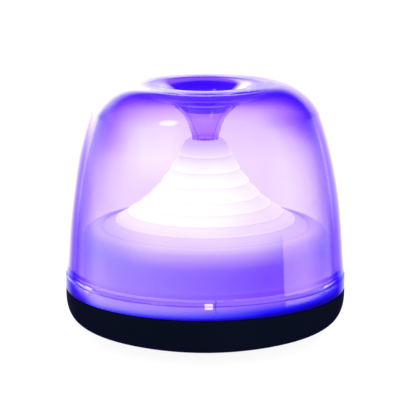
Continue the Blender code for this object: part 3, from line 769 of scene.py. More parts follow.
# ================================================================ dome
# profile points are (radius, height)
DOME_THICK = 4.6
COLLAR_IN = 75.6  # inner radius of the collar
FLAT_R = 37.0  # where the shoulder reaches the crest
SHOULDER_START = (64.6, 127.5)
OUTSIDE = (
    bezier((79.9, 36.0), (78.1, 60.0), (77.6, 93.0), SHOULDER_START, 40)
    + bezier(SHOULDER_START, (62.1, 134.2), (51.4, CREST_Z), (FLAT_R, CREST_Z), 32)
    + [(FLAT_R, CREST_Z)]
)
INSIDE = offset(OUTSIDE, DOME_THICK)
UNDER_CREST = CREST_Z - DOME_THICK
TRUMPET = bezier((31.0, 139.9), (26.0, 138.6), (20.0, 137.0), (15.9, 132.1), 16) + bezier(
    (15.9, 132.1), (15.3, 131.3), (7.4, 125.3), (7.4, 108.2), 26
)
LIP = bezier((FLAT_R, UNDER_CREST), (35.0, UNDER_CREST), (33.0, 140.4), (31.0, 139.9), 5)
FUNNEL = (
    bezier((FLAT_R, CREST_Z), (30.0, CREST_Z), (24.0, 144.0), (20.5, 142.2), 20)[1:]
    + bezier((20.5, 142.2), (18.0, 140.9), (15.6, 137.6), (13.4, 133.9), 10)
    + bezier((13.4, 133.9), (9.6, 127.6), (6.0, 122.0), (4.4, 112.6), 16)
    + [(4.4, 112.6), (3.9, 112.1)]
)
outer_profile = (
    soften([(COLLAR_IN, DOME_Z0), (DOME_R, DOME_Z0), (DOME_R, 34.9)], 0.25)[1:]
    + [(DOME_R - 0.05, 35.15), (80.3, 35.6)]
    + OUTSIDE
    + FUNNEL
    + [(2.6, 111.8), (1.3, 111.35), (0.0, 111.2)]
)
inner_profile = (
    [(0.0, 108.2), (6.6, 108.2), (7.1, 108.35), (7.35, 108.8)]
    + TRUMPET[::-1]
    + LIP[::-1][:-1]
    + INSIDE[:1:-1]
    + [(75.3, 39.0), (75.55, 38.5), (COLLAR_IN, 38.0), (COLLAR_IN, DOME_Z0 + 0.25)]
)
dome = lathe(
    "dome_shell",
    outer_profile + inner_profile,
    SEGS,
    slots=[0] * len(outer_profile) + [1] * (len(inner_profile) - 1) + [2],
    sharp=50,
)
paint(dome, outer, inner, foot_glow)
place(dome, "housing", "dome")

# ================================================================ diffuser
# the outer lip of each stacked ring: radius, height
LIPS = [
    (15.3, 104.1), (19.7, 96.1), (25.0, 88.6), (31.1, 81.4),
    (37.4, 76.0), (44.5, 71.2), (51.6, 66.8), (58.8, 63.3),
]
# down a ring's face: part of the way, bulge, mark, where a mark paints shade above 0 and a
# highlight below it
RING_FACE = [
    (0.08, 0.0, 0.45), (0.25, 0.10, 0.18), (0.5, 0.16, 0.0), (0.75, 0.12, -0.1),
    (0.92, 0.05, -0.35),
]
# the diffuser's crown: radius, height, mark
CROWN = [
    (8.6, 112.4, 0), (8.8, 112.6, 0), (9.7, 112.6, 0), (9.9, 112.4, 0),
    (10.0, 111.9, 0.5), (10.6, 111.7, 0.1), (11.3, 111.5, 0),
]
# the underside, from the skirt up to the crown: radius, height
DIFFUSER_UNDER = [
    (DRUM_R - 1.8, 50.0), (70.6, 55.8), (68.2, 59.2), (64.1, 61.2), (60.0, 61.0),
    (51.6, 62.9), (43.8, 66.8), (36.6, 72.2), (29.9, 78.6), (23.9, 85.8),
    (18.7, 93.2), (14.6, 100.2), (11.2, 107.8), (8.6, 108.4),
]


def diffuser_rows():
    """The diffuser's profile as rows of radius, height, mark."""
    rows = list(CROWN)
    top_r, top_z, _ = CROWN[-1]
    for i, (r, z) in enumerate(LIPS):
        dr, dz = r - top_r, z - top_z
        # a ring's face runs down and out, bellies a little, rolls over and steps back under
        for t, bulge, mark in RING_FACE:
            rows.append((top_r + t * dr + bulge, top_z + t * dz + bulge * 0.5, mark))
        step = 0.75 if i < 7 else 0.45
        # a painted highlight on the lip, then painted shade in the step under it
        rows += [(r, z, -0.5), (r + 0.02, z - 0.22, -0.2)]
        rows += [(r - 0.16, z - 0.40, 0.7), (r - step, z - 0.52, 1.0)]
        top_r, top_z = r - step + 0.05, z - 0.8
    rows += [(59.6, 62.9, 0.5), (61.0, 63.1, 0.2)]
    skirt = bezier((63.0, 63.1), (69.2, 62.4), (DRUM_R, 58.4), (DRUM_R, 50.0), 14)
    skirt += [(DRUM_R, 50.0), (DRUM_R, 40.0), (DRUM_R, DIFFUSER_Z0 + 0.2)]
    skirt += [(DRUM_R - 0.2, DIFFUSER_Z0), (DRUM_R - 1.6, DIFFUSER_Z0)]
    skirt += [(DRUM_R - 1.8, DIFFUSER_Z0 + 0.2)]
    return rows + [(r, z, 0.0) for r, z in skirt + DIFFUSER_UNDER]


rows = diffuser_rows()
diffuser = lathe(
    "diffuser_shell", [row[:2] for row in rows], SEGS, marks=[row[2] for row in rows], sharp=60
)
paint(diffuser, diffuser_painted_glow)
place(diffuser, "housing", "diffuser")

# ================================================================ bayonet ring
RING_GLOW = [  # painted glow by height
    (0, 0.01, 0.01, 0.45), (0.2, 0.05, 0.035, 0.82), (0.42, 0.17, 0.07, 0.94),
    (0.6, 0.22, 0.09, 0.96), (1, 0.25, 0.11, 0.97),
]
RING_THICK = 1.6
POCKET_Z0, WAY_IN_Z0, POCKET_Z1 = 32.2, 33.6, 35.8
RING_HEIGHTS = [RING_Z0, 26.0, 29.0, POCKET_Z0, WAY_IN_Z0, POCKET_Z1, RING_Z1]


def ring_glow():
    mat = Shader("ring_glow")
    x, y, z = mat.xyz()
    # painted shade: a dark line at the pocket's stop edge
    from_lug = mat.from_sixth(mat.degrees(y, x), shift=360 - FIRST_LUG + 30)
    line = mat.within(from_lug, centre=STOP_AT, half=STOP_HALF)
    # painted shade: a fainter dark line round the ring at 36.1 mm
    hoop = mat.within(z, centre=36.1 * MM, half=0.2 * MM)
    hoop_strength, tilt = 0.45, 0.03
    line = mat.math("MAXIMUM", line, mat.times(hoop, hoop_strength))
    level = mat.minus(z, mat.times(x, tilt))
    glow = mat.ramp(mat.span_mm(level, start=27.5, end=37.6), RING_GLOW)
    grain = mat.noise(scale=500, detail=3, rough=0.6)
    return mat.set(
        Base_Color=(0.10, 0.06, 0.2),
        Roughness=0.45,
        Emission_Color=mat.mix(line, glow, STOP_SHADE_COLOUR),
        Emission_Strength=1.0,
        Normal=mat.bump(grain, strength=0.1, distance=0.0001),
    )


def ring_angles(step=2.0, gap=0.4):
    """Even steps round the ring, with the pockets' edges in place of any step near them."""
    edges = (-POCKET_HALF, *STOP_EDGES, TWIST - POCKET_HALF, TWIST + POCKET_HALF)
    pockets = [(FIRST_LUG + 60 * k + edge) % 360 for k in range(6) for edge in edges]
    even = [
        base
        for base in (i * step for i in range(int(360 / step)))
        if all(min(abs(base - p), 360 - abs(base - p)) > gap for p in pockets)
    ]
    return sorted(set([round(angle, 4) for angle in pockets] + even))


RING_ANGLES = ring_angles()


def ring_solid(i, j):
    """Whether a cell is outside the L-shaped pockets, which open upwards at the twist."""
    a0, a1 = RING_ANGLES[i], RING_ANGLES[(i + 1) % len(RING_ANGLES)]
    middle = (a0 + ((a1 - a0) % 360) / 2 - FIRST_LUG + 30) % 60 - 30
    z = (RING_HEIGHTS[j] + RING_HEIGHTS[j + 1]) / 2
    if POCKET_Z0 < z < POCKET_Z1 and -POCKET_HALF < middle < TWIST + POCKET_HALF:
        return False
    return not (z > WAY_IN_Z0 and TWIST - POCKET_HALF < middle < TWIST + POCKET_HALF)


ring_mat = ring_glow()
form = bmesh.new()
ring_grid(form, RING_R - RING_THICK, RING_R, RING_ANGLES, RING_HEIGHTS, ring_solid)
ring = from_form("lock_ring_shell", form, sharp=30)
flange = lathe("flange", [(69.4, 22.8), (74.4, 22.8), (74.4, 24.7), (69.4, 24.7)], 120)
solid_cut(ring, flange, "UNION")
paint(ring, ring_mat)
place(ring, "housing", "lock_ring")

# ================================================================ dome lugs
# six blocks on the inside of the dome's collar, in the ring's pockets
LUG_RADII = (73.85, 75.3)
LUG_HEIGHTS = (32.8, 35.4)
LUG_BEVEL = 0.25
# painted glow: the lugs' pale violet light is emission
lug_mat = Shader("dome_lug").set(
    Base_Color=(0.6, 0.5, 0.9),
    Roughness=0.3,
    Emission_Color=(0.80, 0.66, 1.0),
    Emission_Strength=1.0,
)


def dome_lug(name, centre):
    form = bmesh.new()
    a0, a1 = centre - LUG_WIDTH / 2, centre + LUG_WIDTH / 2
    grid = {}
    for i, angle in enumerate((a0, (a0 + a1) / 2, a1)):
        for side, radius in enumerate(LUG_RADII):
            x, y = polar(radius, angle)
            for level, z in enumerate(LUG_HEIGHTS):
                grid[i, side, level] = form.verts.new((x * MM, y * MM, z * MM))
    for i in (0, 1):
        for p, q in (((0, 0), (0, 1)), ((1, 0), (1, 1)), ((0, 0), (1, 0)), ((0, 1), (1, 1))):
            form.faces.new((grid[i, *p], grid[i + 1, *p], grid[i + 1, *q], grid[i, *q]))
    for i in (0, 2):
        form.faces.new((grid[i, 0, 0], grid[i, 1, 0], grid[i, 1, 1], grid[i, 0, 1]))
    bmesh.ops.recalc_face_normals(form, faces=form.faces)
    corners = [edge for edge in form.edges if edge.calc_face_angle(0) > 0.5]
    bmesh.ops.bevel(form, geom=corners, offset=LUG_BEVEL * MM, segments=2, affect="EDGES")
    return from_form(name, form)


for k in range(6):
    lug = dome_lug(f"dome_lug_{k + 1}", FIRST_LUG + 60 * k)
    paint(lug, lug_mat)
    place(lug, "housing")

# ================================================================ hull
DECK_Z = 24.7  # top of the middle and of the deck's bosses
DECK_SCREWS = [polar(61.0, angle) for angle in (30, 150, 270)]
WEIGHT_SCREWS = [polar(51.0, angle) for angle in (0, 180, 270)]
BUTTON_Y = 57.0
DOOR_LUGS = (90, 210, 330)  # degrees round the axis
DOOR_TWIST = 40.0
DOOR_LUG_HALF = 8.0  # degrees
WAY_HALF = DOOR_LUG_HALF + 0.8
WAY_RADII = (36.5, 39.2)
BASE_EDGE = (47.0, 0.0)
BILGE = (72.2, 7.7)  # where the shallow underside turns up into the side

HULL_OUT = (
    [(43.5, 0.0), BASE_EDGE]
    + bezier(BASE_EDGE, (54.5, 1.6), (66.0, 5.2), BILGE, 14)[1:]
    + bezier(BILGE, (78.1, 10.1), (HULL_R, 15.4), (HULL_R, 24.4), 20)
    + [(HULL_R, 24.4), (HULL_R, SEAM_Z - 0.5), (HULL_R - 0.1, SEAM_Z - 0.2)]
    + [(HULL_R - 0.4, SEAM_Z)]
)
HULL_IN = [  # seal groove in the rim, wall, floor, then the raised middle
    (79.3, SEAM_Z), (79.3, SEAM_Z - 1.6), (76.9, SEAM_Z - 1.6), (76.9, SEAM_Z),
    (75.6, SEAM_Z), (75.6, 22.5), (72.8, 22.5), (72.8, 13.4), (70.6, 11.0), (66.2, 8.8),
    (59.8, 6.3), (53.2, 4.1), (48.0, 3.2), (44.0, 3.2), (44.0, DECK_Z), (0.0, DECK_Z),
]
BATTERY_WELL = [
    (0.0, 23.0), (41.6, 23.0), (41.6, 7.6), (38.0, 7.6), (38.0, 2.9), (43.5, 2.9),
]
BUTTON_POCKET = [
    (0.0, -2.0), (8.9, -2.0), (8.75, 1.1), (8.5, 1.9), (8.4, 2.4), (8.4, 7.8),
    (3.8, 7.8), (3.8, 9.4), (2.5, 9.4), (2.5, 12.0), (0.0, 12.0),
]
# radius, bottom, top, steps, centres
BOSSES = [
    (3.6, 5.2, DECK_Z, 40, DECK_SCREWS),
    (3.0, 2.4, 6.3, 40, WEIGHT_SCREWS),
    (10.6, 4.2, 10.6, 64, [(0.0, BUTTON_Y)]),
]
HOLES = [
    (1.6, 12.0, 26.0, 24, DECK_SCREWS),
    (1.4, 3.2, 8.0, 24, WEIGHT_SCREWS),
    (1.05, 22.0, 24.2, 24, [(-26.4, 0.0), (26.4, 0.0)]),
    (1.7, 22.0, 26.0, 24, [(-15.0, 33.5), (15.0, -33.5)]),
]
# ways for the door's lugs: bottom, top, turn of the far end, parts
DOOR_WAYS = [
    (1.5, 5.6, -DOOR_TWIST, 8),  # in from below
    (4.9, 8.6, 0.0, 20),  # round to the locked place
]

hull = lathe("hull_shell", HULL_OUT + soften(HULL_IN, 0.25) + soften(BATTERY_WELL, 0.25), SEGS)
solid_cut(hull, rods("bosses", BOSSES), "UNION")
pocket_cut = lathe("pocket_cut", BUTTON_POCKET, 64, closed=False)
pocket_cut.location.y = BUTTON_Y * MM
solid_cut(hull, pocket_cut)
solid_cut(hull, rods("holes", HOLES))
for z0, z1, turn, parts in DOOR_WAYS:
    form = bmesh.new()
    for angle in DOOR_LUGS:
        a0, a1 = angle - DOOR_TWIST - WAY_HALF, angle + turn + WAY_HALF
        sector(form, *WAY_RADII, z0, z1, a0, a1, parts)
    solid_cut(hull, from_form("door_way", form))
paint(hull, black)
hull.data.set_sharp_from_angle(angle=math.radians(35))
place(hull, "housing", "hull")


# ================================================================ kinds of material
def moulded(name, dark, pale, rough, grain=1300, turned=False, relief=0.12):
    """Moulded plastic: a fine spark-eroded grain, slight flow marks, and roughness that
    varies with them. turned adds fine rings round the axis."""
    mat = Shader(name)
    flow = mat.noise(scale=34, detail=4, rough=0.55, stretch=(1.0, 1.0, 2.2), distortion=0.6)
    fine = mat.noise(scale=grain, detail=3, rough=0.6)
    height = fine
    if turned:
        x, y, _ = mat.xyz()
        ring_rate, ring_depth = 9000.0, 0.5
        waves = mat.math("SINE", mat.times(mat.radius(x, y), ring_rate))
        height = mat.plus(fine, mat.times(waves, ring_depth))
    return mat.set(
        Base_Color=mat.mix(mat.span(flow, start=0.3, end=0.7), dark, pale),
        Roughness=mat.plus(
            mat.span(flow, start=0.3, end=0.7, to=(rough - 0.05, rough + 0.05)),
            mat.span(fine, start=0.2, end=0.8, to=(-0.03, 0.03)),
        ),
        Normal=mat.bump(height, strength=relief, distance=0.00005),
    )


def metal(name, dark, pale, rough, stretch=(1.0, 1.0, 1.0), scale=260, spots=0.0):
    """Drawn or plated metal: streaks, a little staining, and pits if spots is set."""
    mat = Shader(name)
    streak = mat.noise(scale=scale, detail=5, rough=0.65, stretch=stretch)
    stain = mat.noise(scale=60, detail=4, rough=0.6)
    colour = mat.mix(mat.span(stain, start=0.35, end=0.7), pale, dark)
    if spots:
        pits = mat.span(mat.noise(scale=900, detail=2, rough=0.5), start=0.62, end=0.75)
        colour = mat.mix(mat.times(pits, spots), colour, tuple(v * 0.4 for v in dark))
    return mat.set(
        Base_Color=colour,
        Metallic=1.0,
        Roughness=mat.span(streak, start=0.25, end=0.75, to=(rough - 0.09, rough + 0.09)),
        Normal=mat.bump(streak, strength=0.1, distance=0.00004),
    )


def seal_rubber():
    """Moulded rubber: matt, with a bloom of dust and tiny dimples."""
    mat = Shader("seal_rubber_fine")
    bloom = mat.noise(scale=120, detail=5, rough=0.6)
    dimple = mat.noise(scale=1900, detail=2, rough=0.5)
    dark, pale = (0.010, 0.010, 0.012), (0.026, 0.025, 0.027)
    return mat.set(
        Base_Color=mat.mix(mat.span(bloom, start=0.35, end=0.75), dark, pale),
        Roughness=mat.span(bloom, start=0.3, end=0.7, to=(0.68, 0.86)),
        Sheen_Weight=0.15,
        Normal=mat.bump(dimple, strength=0.25, distance=0.00005),
    )


door_mat = moulded(
    "door_plastic",
    dark=(0.0032, 0.0046, 0.0095),
    pale=(0.0055, 0.0070, 0.0120),
    rough=0.50,
    turned=True,
).set(IOR=1.12)
seal_mat = seal_rubber()
button_mat = moulded(
    "button_grey_fine",
    dark=(0.115, 0.118, 0.130),
    pale=(0.150, 0.153, 0.165),
    rough=0.46,
    grain=1700,
)

# ================================================================ battery door
DOOR_PROFILE = [  # radius, height, rounding
    (0.0, 0.3, 0), (42.4, 0.3, 0.4), (43.0, 0.9, 0.3), (43.0, 2.5, 0.2), (41.9, 2.5, 0.12),
    (41.9, 1.2, 0.1), (39.6, 1.2, 0.1), (39.6, 2.5, 0.12), (37.6, 2.5, 0.1),
    (37.6, 6.7, 0.25), (36.0, 6.7, 0.25), (36.0, 2.7, 0.5), (0.0, 2.7, 0),
]
COIN_SLOT_X, COIN_SLOT_R = 11.5, 1.5  # centre and radius of its rounded ends

door = lathe("door_shell", soften_rows(DOOR_PROFILE), 180, closed=False)
form = bmesh.new()
for angle in DOOR_LUGS:
    a0, a1 = angle - DOOR_LUG_HALF, angle + DOOR_LUG_HALF
    sector(form, 36.8, 38.9, 5.2, 6.7, a0, a1, 10)
solid_cut(door, from_form("door_lugs", form), "UNION")
outline = []
for centre_x, start in ((COIN_SLOT_X, -90), (-COIN_SLOT_X, 90)):
    for k in range(13):
        x, y = polar(COIN_SLOT_R, start + 15 * k)
        outline.append((centre_x + x, y))
form = bmesh.new()
prism(form, outline, -1.0, 1.6)
solid_cut(door, from_form("coin", form))
paint(door, door_mat)
door.data.set_sharp_from_angle(angle=math.radians(35))
place(door, "door", "battery_door")


# ================================================================ seals
def seal_ring(name, radius, z, half_width, half_height, segs, y=0.0):
    """A rubber ring of oval section."""
    section = [
        (radius + half_width * math.cos(angle), z + half_height * math.sin(angle))
        for angle in (2 * math.pi * k / 20 for k in range(20))
    ]
    ring = lathe(name, section, segs, sharp=80)
    move(ring, 0.0, y)
    paint(ring, seal_mat)
    return ring


seal = seal_ring("door_seal_ring", 40.75, 2.05, 0.85, 0.6, 180)
place(seal, "door", "door_seal")
seal = seal_ring("dome_seal_ring", 78.1, SEAM_Z - 0.62, 0.9, 0.62, SEGS)
place(seal, "housing", "dome_seal")
seal = seal_ring("button_seal_ring", 3.0, 8.55, 0.6, 0.6, 48, y=BUTTON_Y)
place(seal, "housing", "button_seal")

# ================================================================ button
BUTTON_FACE = [(0.0, 1.95), (2.2, 1.88)]  # the slightly hollow middle
BUTTON_BODY = [  # radius, height, rounding
    (4.4, 1.66, 0), (6.2, 1.6, 0.5), (7.2, 2.4, 0.5), (7.2, 4.4, 0.2), (2.2, 4.4, 0.25),
    (2.2, 11.0, 0.1), (1.6, 11.0, 0.08), (1.6, 11.7, 0.08), (2.2, 11.7, 0.12),
    (2.2, 13.0, 0.3), (0.0, 13.0, 0),
]
button = lathe("button_shell", BUTTON_FACE + soften_rows(BUTTON_BODY), 96, closed=False)
move(button, 0.0, BUTTON_Y)
paint(button, button_mat)
place(button, "button", "power_button")

# ================================================================ button spring
# it stands on the button's rim
COIL_R, WIRE_R, TURNS = 5.0, 0.22, 3.5
DEAD_END = 0.12  # part of the wire that lies flat at each end
COIL_STEPS, WIRE_STEPS = int(TURNS * 32), 10
(_, _, SPRING_Z0), (_, _, SPRING_Z1) = box_mm("button_spring")


def button_coil():
    form = bmesh.new()
    rings = []
    for i in range(COIL_STEPS + 1):
        t = i / COIL_STEPS
        turn = 2 * math.pi * TURNS * t
        climb = min(1.0, max(0.0, (t - DEAD_END) / 0.76))
        z = SPRING_Z0 + WIRE_R + (SPRING_Z1 - SPRING_Z0 - 2 * WIRE_R) * climb
        ring = []
        for k in range(WIRE_STEPS):
            angle = 2 * math.pi * k / WIRE_STEPS
            radius = COIL_R + WIRE_R * math.cos(angle)
            x, y = radius * math.cos(turn), BUTTON_Y + radius * math.sin(turn)
            ring.append(form.verts.new((x * MM, y * MM, (z + WIRE_R * math.sin(angle)) * MM)))
        rings.append(ring)
    for here, following in zip(rings, rings[1:]):
        for k in range(WIRE_STEPS):
            k1 = (k + 1) % WIRE_STEPS
            form.faces.new((here[k], here[k1], following[k1], following[k]))
    form.faces.new(rings[0][::-1])
    form.faces.new(rings[-1])
    return from_form("button_coil", form, sharp=60)


coil = button_coil()
spring_mat = metal(
    "spring_steel_fine",
    dark=(0.50, 0.49, 0.46),
    pale=(0.70, 0.69, 0.66),
    rough=0.28,
    stretch=(1.0, 1.0, 6.0),
)
paint(coil, spring_mat)
place(coil, "button", "button_spring")
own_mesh(coil)

# ================================================================ finishes of the pieces inside
white = moulded(
    "white_plastic_fine", dark=(0.66, 0.66, 0.68), pale=(0.78, 0.78, 0.79), rough=0.5, grain=1500
)
grey = moulded(
    "holder_grey", dark=(0.055, 0.057, 0.065), pale=(0.085, 0.088, 0.098), rough=0.52, grain=1500
)
epoxy = moulded(
    "epoxy_black",
    dark=(0.008, 0.008, 0.009),
    pale=(0.016, 0.016, 0.017),
    rough=0.44,
    grain=2600,
    relief=0.3,
)
red_wire = moulded(
    "wire_red_fine", dark=(0.40, 0.012, 0.012), pale=(0.56, 0.030, 0.025), rough=0.42, grain=900
)
dark_wire = moulded(
    "wire_black_fine",
    dark=(0.008, 0.008, 0.009),
    pale=(0.016, 0.016, 0.018),
    rough=0.42,
    grain=900,
)
zinc = metal(
    "zinc_steel_fine", dark=(0.40, 0.41, 0.44), pale=(0.62, 0.63, 0.65), rough=0.36, spots=0.5
)
cast = metal(
    "ballast_steel",
    dark=(0.30, 0.30, 0.31),
    pale=(0.46, 0.46, 0.47),
    rough=0.48,
    scale=420,
    spots=0.8,
)
nickel = metal(
    "nickel_fine",
    dark=(0.58, 0.56, 0.52),
    pale=(0.76, 0.74, 0.70),
    rough=0.24,
    stretch=(1.0, 1.0, 8.0),
)


def capacitor_can():
    """A dark sleeve with a pale stripe, and a bare metal top."""
    mat = Shader("capacitor_can_fine")
    x, _, z = mat.xyz()
    top = box_mm("capacitor")[1][2]
    is_top = mat.span_mm(z, start=top - 0.35, end=top - 0.25)
    stripe = mat.times(mat.math("GREATER_THAN", x, 1.5 * MM), mat.minus(1.0, is_top))
    dark, pale = (0.012, 0.014, 0.030), (0.020, 0.022, 0.042)
    stripe_colour, top_colour = (0.45, 0.46, 0.50), (0.66, 0.67, 0.69)
    sleeve = mat.mix(stripe, mat.mix(mat.noise(scale=300), dark, pale), stripe_colour)
    return mat.set(
        Base_Color=mat.mix(is_top, sleeve, top_colour),
        Metallic=is_top,
        Roughness=mat.span(mat.noise(scale=240), start=0.3, end=0.7, to=(0.28, 0.42)),
        Normal=mat.bump(mat.noise(scale=700), strength=0.08, distance=0.00004),
    )


def light_board():
    """White mask over copper: ring tracks, and spokes in to the middle."""
    mat = Shader("light_board_fine")
    x, y, _ = mat.xyz()
    radius = mat.radius(x, y)
    from_spoke = mat.from_sixth(mat.degrees(y, x), shift=360.0)
    ring_track = mat.within(radius, centre=LAMP_CIRCLE * MM, half=0.9 * MM)
    outer_track = mat.within(radius, centre=23.0 * MM, half=0.4 * MM)
    spoke_half = 0.022  # degrees times metres, so a spoke is as wide all along
    spoke = mat.times(
        mat.math("LESS_THAN", mat.math("ABSOLUTE", mat.times(from_spoke, radius)), spoke_half),
        mat.math("LESS_THAN", radius, LAMP_CIRCLE * MM),
    )
    track = mat.math("MAXIMUM", mat.math("MAXIMUM", ring_track, outer_track), spoke)
    dark, pale, track_colour = (0.74, 0.76, 0.75), (0.80, 0.82, 0.81), (0.66, 0.66, 0.60)
    mask = mat.mix(mat.noise(scale=90), dark, pale)
    grain_height = 0.2
    relief = mat.plus(track, mat.times(mat.noise(scale=800), grain_height))
    return mat.set(
        Base_Color=mat.mix(track, mask, track_colour),
        Roughness=mat.span(mat.noise(scale=400), start=0.3, end=0.7, to=(0.28, 0.42)),
        Normal=mat.bump(relief, strength=0.4, distance=0.00004),
    )


def switch_board():
    """A green board with two tracks to its lead."""
    mat = Shader("switch_board_fine")
    x, _, _ = mat.xyz()
    tracks = mat.within(mat.math("ABSOLUTE", x), centre=2.4 * MM, half=0.35 * MM)
    dark, pale, track_colour = (0.012, 0.085, 0.040), (0.020, 0.120, 0.055), (0.045, 0.190, 0.075)
    grain_height = 0.2
    relief = mat.plus(tracks, mat.times(mat.noise(scale=900), grain_height))
    return mat.set(
        Base_Color=mat.mix(tracks, mat.mix(mat.noise(scale=120), dark, pale), track_colour),
        Roughness=mat.span(mat.noise(scale=500), start=0.3, end=0.7, to=(0.25, 0.40)),
        Normal=mat.bump(relief, strength=0.35, distance=0.00004),
    )


def lamp_package():
    """A pale package round a yellow-white window, for lamps on a circle."""
    mat = Shader("led_fine")
    x, y, _ = mat.xyz()
    radius = mat.radius(x, y)
    angle = mat.math("ARCTAN2", y, x)
    turned = mat.math("MODULO", mat.plus(angle, 2 * math.pi), math.pi / 3)
    from_lamp = mat.minus(turned, math.pi / 6)
    across = mat.minus(mat.times(radius, mat.math("COSINE", from_lamp)), LAMP_CIRCLE * MM)
    along = mat.times(radius, mat.math("SINE", from_lamp))
    window = mat.span_mm(mat.radius(across, along), start=1.45, end=1.60, to=(1, 0))
    dark, pale, yellow = (0.82, 0.80, 0.76), (0.90, 0.89, 0.86), (0.85, 0.78, 0.30)
    window_strength = 0.8
    return mat.set(
        Base_Color=mat.mix(window, mat.mix(mat.noise(scale=600), dark, pale), yellow),
        Roughness=mat.span(mat.noise(scale=900), start=0.3, end=0.7, to=(0.30, 0.45)),
        Emission_Color=(0.55, 0.32, 1.0),
        Emission_Strength=mat.times(window, window_strength),
    )


def cell_sleeve():
    """A printed blue sleeve with pale bands near its bare metal ends."""
    mat = Shader("cell_sleeve_fine")
    _, y, _ = mat.xyz()
    end = box_mm("cell_1")[1][1]
    along = mat.math("ABSOLUTE", y)
    bare = mat.span_mm(along, start=end - 1.9, end=end - 1.8)
    band = mat.times(
        mat.math("GREATER_THAN", along, (end - 7.5) * MM),
        mat.math("LESS_THAN", along, (end - 4.0) * MM),
    )
    dark, pale = (0.020, 0.070, 0.260), (0.030, 0.095, 0.330)
    band_colour, bare_colour = (0.62, 0.64, 0.68), (0.66, 0.65, 0.62)
    band_metal = 0.8
    ink = mat.mix(mat.noise(scale=80), dark, pale)
    rough = mat.noise(scale=300, detail=4)
    return mat.set(
        Base_Color=mat.mix(bare, mat.mix(band, ink, band_colour), bare_colour),
        Metallic=mat.math("MAXIMUM", bare, mat.times(band, band_metal)),
        Roughness=mat.span(rough, start=0.3, end=0.7, to=(0.22, 0.38)),
        Normal=mat.bump(mat.noise(scale=260), strength=0.06, distance=0.00005),
    )


LAMP_CIRCLE = 17.0  # radius of the circle the lamps stand on
can = capacitor_can()
board = light_board()
green = switch_board()
lamp_mat = lamp_package()
cell_mat = cell_sleeve()

FINISHES = {
    "deck": white,
    "battery_plug": white,
    "switch_plunger": white,
    "battery_holder": grey,
    "switch_body": epoxy,
    "controller_chip": epoxy,
    "capacitor": can,
    "led_board": board,
    "switch_board": green,
    "ballast_ring": cast,
    "lead_positive": red_wire,
    "lead_negative": dark_wire,
    "switch_lead": dark_wire,
    "button_clip": spring_mat,
    "bridge_plate_back": nickel,
    "bridge_plate_front": nickel,
    "contact_positive": nickel,
    "contact_negative": nickel,
}
for prefix, count, mat in (
    ("ballast_screw", 3, zinc),
    ("board_screw", 3, zinc),
    ("deck_screw", 3, zinc),
    ("holder_screw", 2, zinc),
    ("switch_screw", 2, zinc),
    ("contact_spring", 3, spring_mat),
    ("cell", 3, cell_mat),
    ("led", 6, lamp_mat),
):
    for k in range(count):
        FINISHES[f"{prefix}_{k + 1}"] = mat
for node_name, mat in FINISHES.items():
    paint(bpy.data.objects[node_name], mat)

# ================================================================ floor
floor_mat = Shader("floor_white").set(
    Base_Color=(0.25, 0.25, 0.25),
    Roughness=0.9,
    Emission_Color=WHITE,
    Emission_Strength=0.92,
    Specular_IOR_Level=0.0,
)
clear = floor_mat.new("BsdfTransparent")  # from underneath the floor isn't seen
two_sided = floor_mat.new("MixShader")
floor_mat.put(two_sided, 0, floor_mat.backfacing())
floor_mat.put(two_sided, 1, floor_mat.bsdf.outputs[0])
floor_mat.put(two_sided, 2, clear.outputs[0])
floor_mat.put(floor_mat.tree.nodes["Material Output"], "Surface", two_sided.outputs[0])
form = bmesh.new()
bmesh.ops.create_circle(form, cap_ends=True, segments=96, radius=6.0)
floor = from_form("floor", form, sharp=None)
floor.location.z = HULL_Z0 * MM - 0.0002  # just clear of the hull
paint(floor, floor_mat)
floor.visible_glossy = False

# ================================================================ world
# The room's cards are painted by direction, in degrees: azimuth 0 in front and 90 at the
# right, elevation 0 level.
NEUTRAL_STRENGTH = {"back": 0.95, "screen": 2.7, "lamp": 11.0, "left": 3.3}
PLAIN_STRENGTH = 1.02  # for camera and diffuse rays
SEEN_STRENGTH = 1.16  # the white room through the glass
# colour of the right card, of the dusk, and how far the dusk brightens to the left
CHANNELS = [
    ("Red", 4.6, 0.10, 1.9),
    ("Green", 3.3, 0.027, 2.4),
    ("Blue", 4.6, 0.85, 1.0),
]

world = bpy.data.worlds.new("studio")
scene.world = world
world.use_nodes = True
sky = Graph(world.node_tree)
background = sky.tree.nodes["Background"]
sky.put(background, "Color", WHITE)  # plain white wherever the cards are unlinked


def soft(value, start, end, to=(0.0, 1.0)):
    return sky.span(value, start, end, to, smooth=True)


direction = sky.new("SeparateXYZ")
sky.put(direction, 0, sky.new("TexCoord").outputs["Generated"])
east, north, up = direction.outputs
azimuth = sky.degrees(east, sky.times(north, -1.0))
elevation = sky.times(sky.math("ARCSINE", up), 180 / math.pi)
# a low card at the front right with a hard left edge
right_card = sky.times(
    soft(azimuth, start=66.5, end=67.5), soft(azimuth, start=84, end=118, to=(1, 0))
)
right_card = sky.times(right_card, soft(elevation, start=-15, end=-9))
right_card = sky.times(right_card, soft(elevation, start=-5.6, end=-2, to=(1, 0)))
# a broad soft one that grows from the front to the left
left_card = sky.times(
    sky.span(azimuth, start=50, end=-55), soft(azimuth, start=-120, end=-94)
)
left_height = sky.times(
    soft(elevation, start=-6, end=0, to=(1, 0)), soft(elevation, start=-24, end=-16)
)
left_card = sky.times(left_card, left_height)
# the backdrop, mirrored in the rim and in the flat top
back = sky.times(
    soft(north, start=0.72, end=0.97), soft(elevation, start=13, end=22, to=(1, 0))
)
back = sky.times(back, soft(elevation, start=-25, end=-12))
# a tall pale screen at the back left
screen_width = sky.plus(
    soft(azimuth, start=-150, end=-132, to=(0.65, 0)),
    soft(azimuth, start=-125, end=-100, to=(0.35, 0)),
)
screen = sky.times(soft(azimuth, start=-179.9, end=-174), screen_width)
screen_height = sky.times(
    soft(elevation, start=-4, end=3), soft(elevation, start=20, end=33, to=(1, 0))
)
screen = sky.times(screen, screen_height)
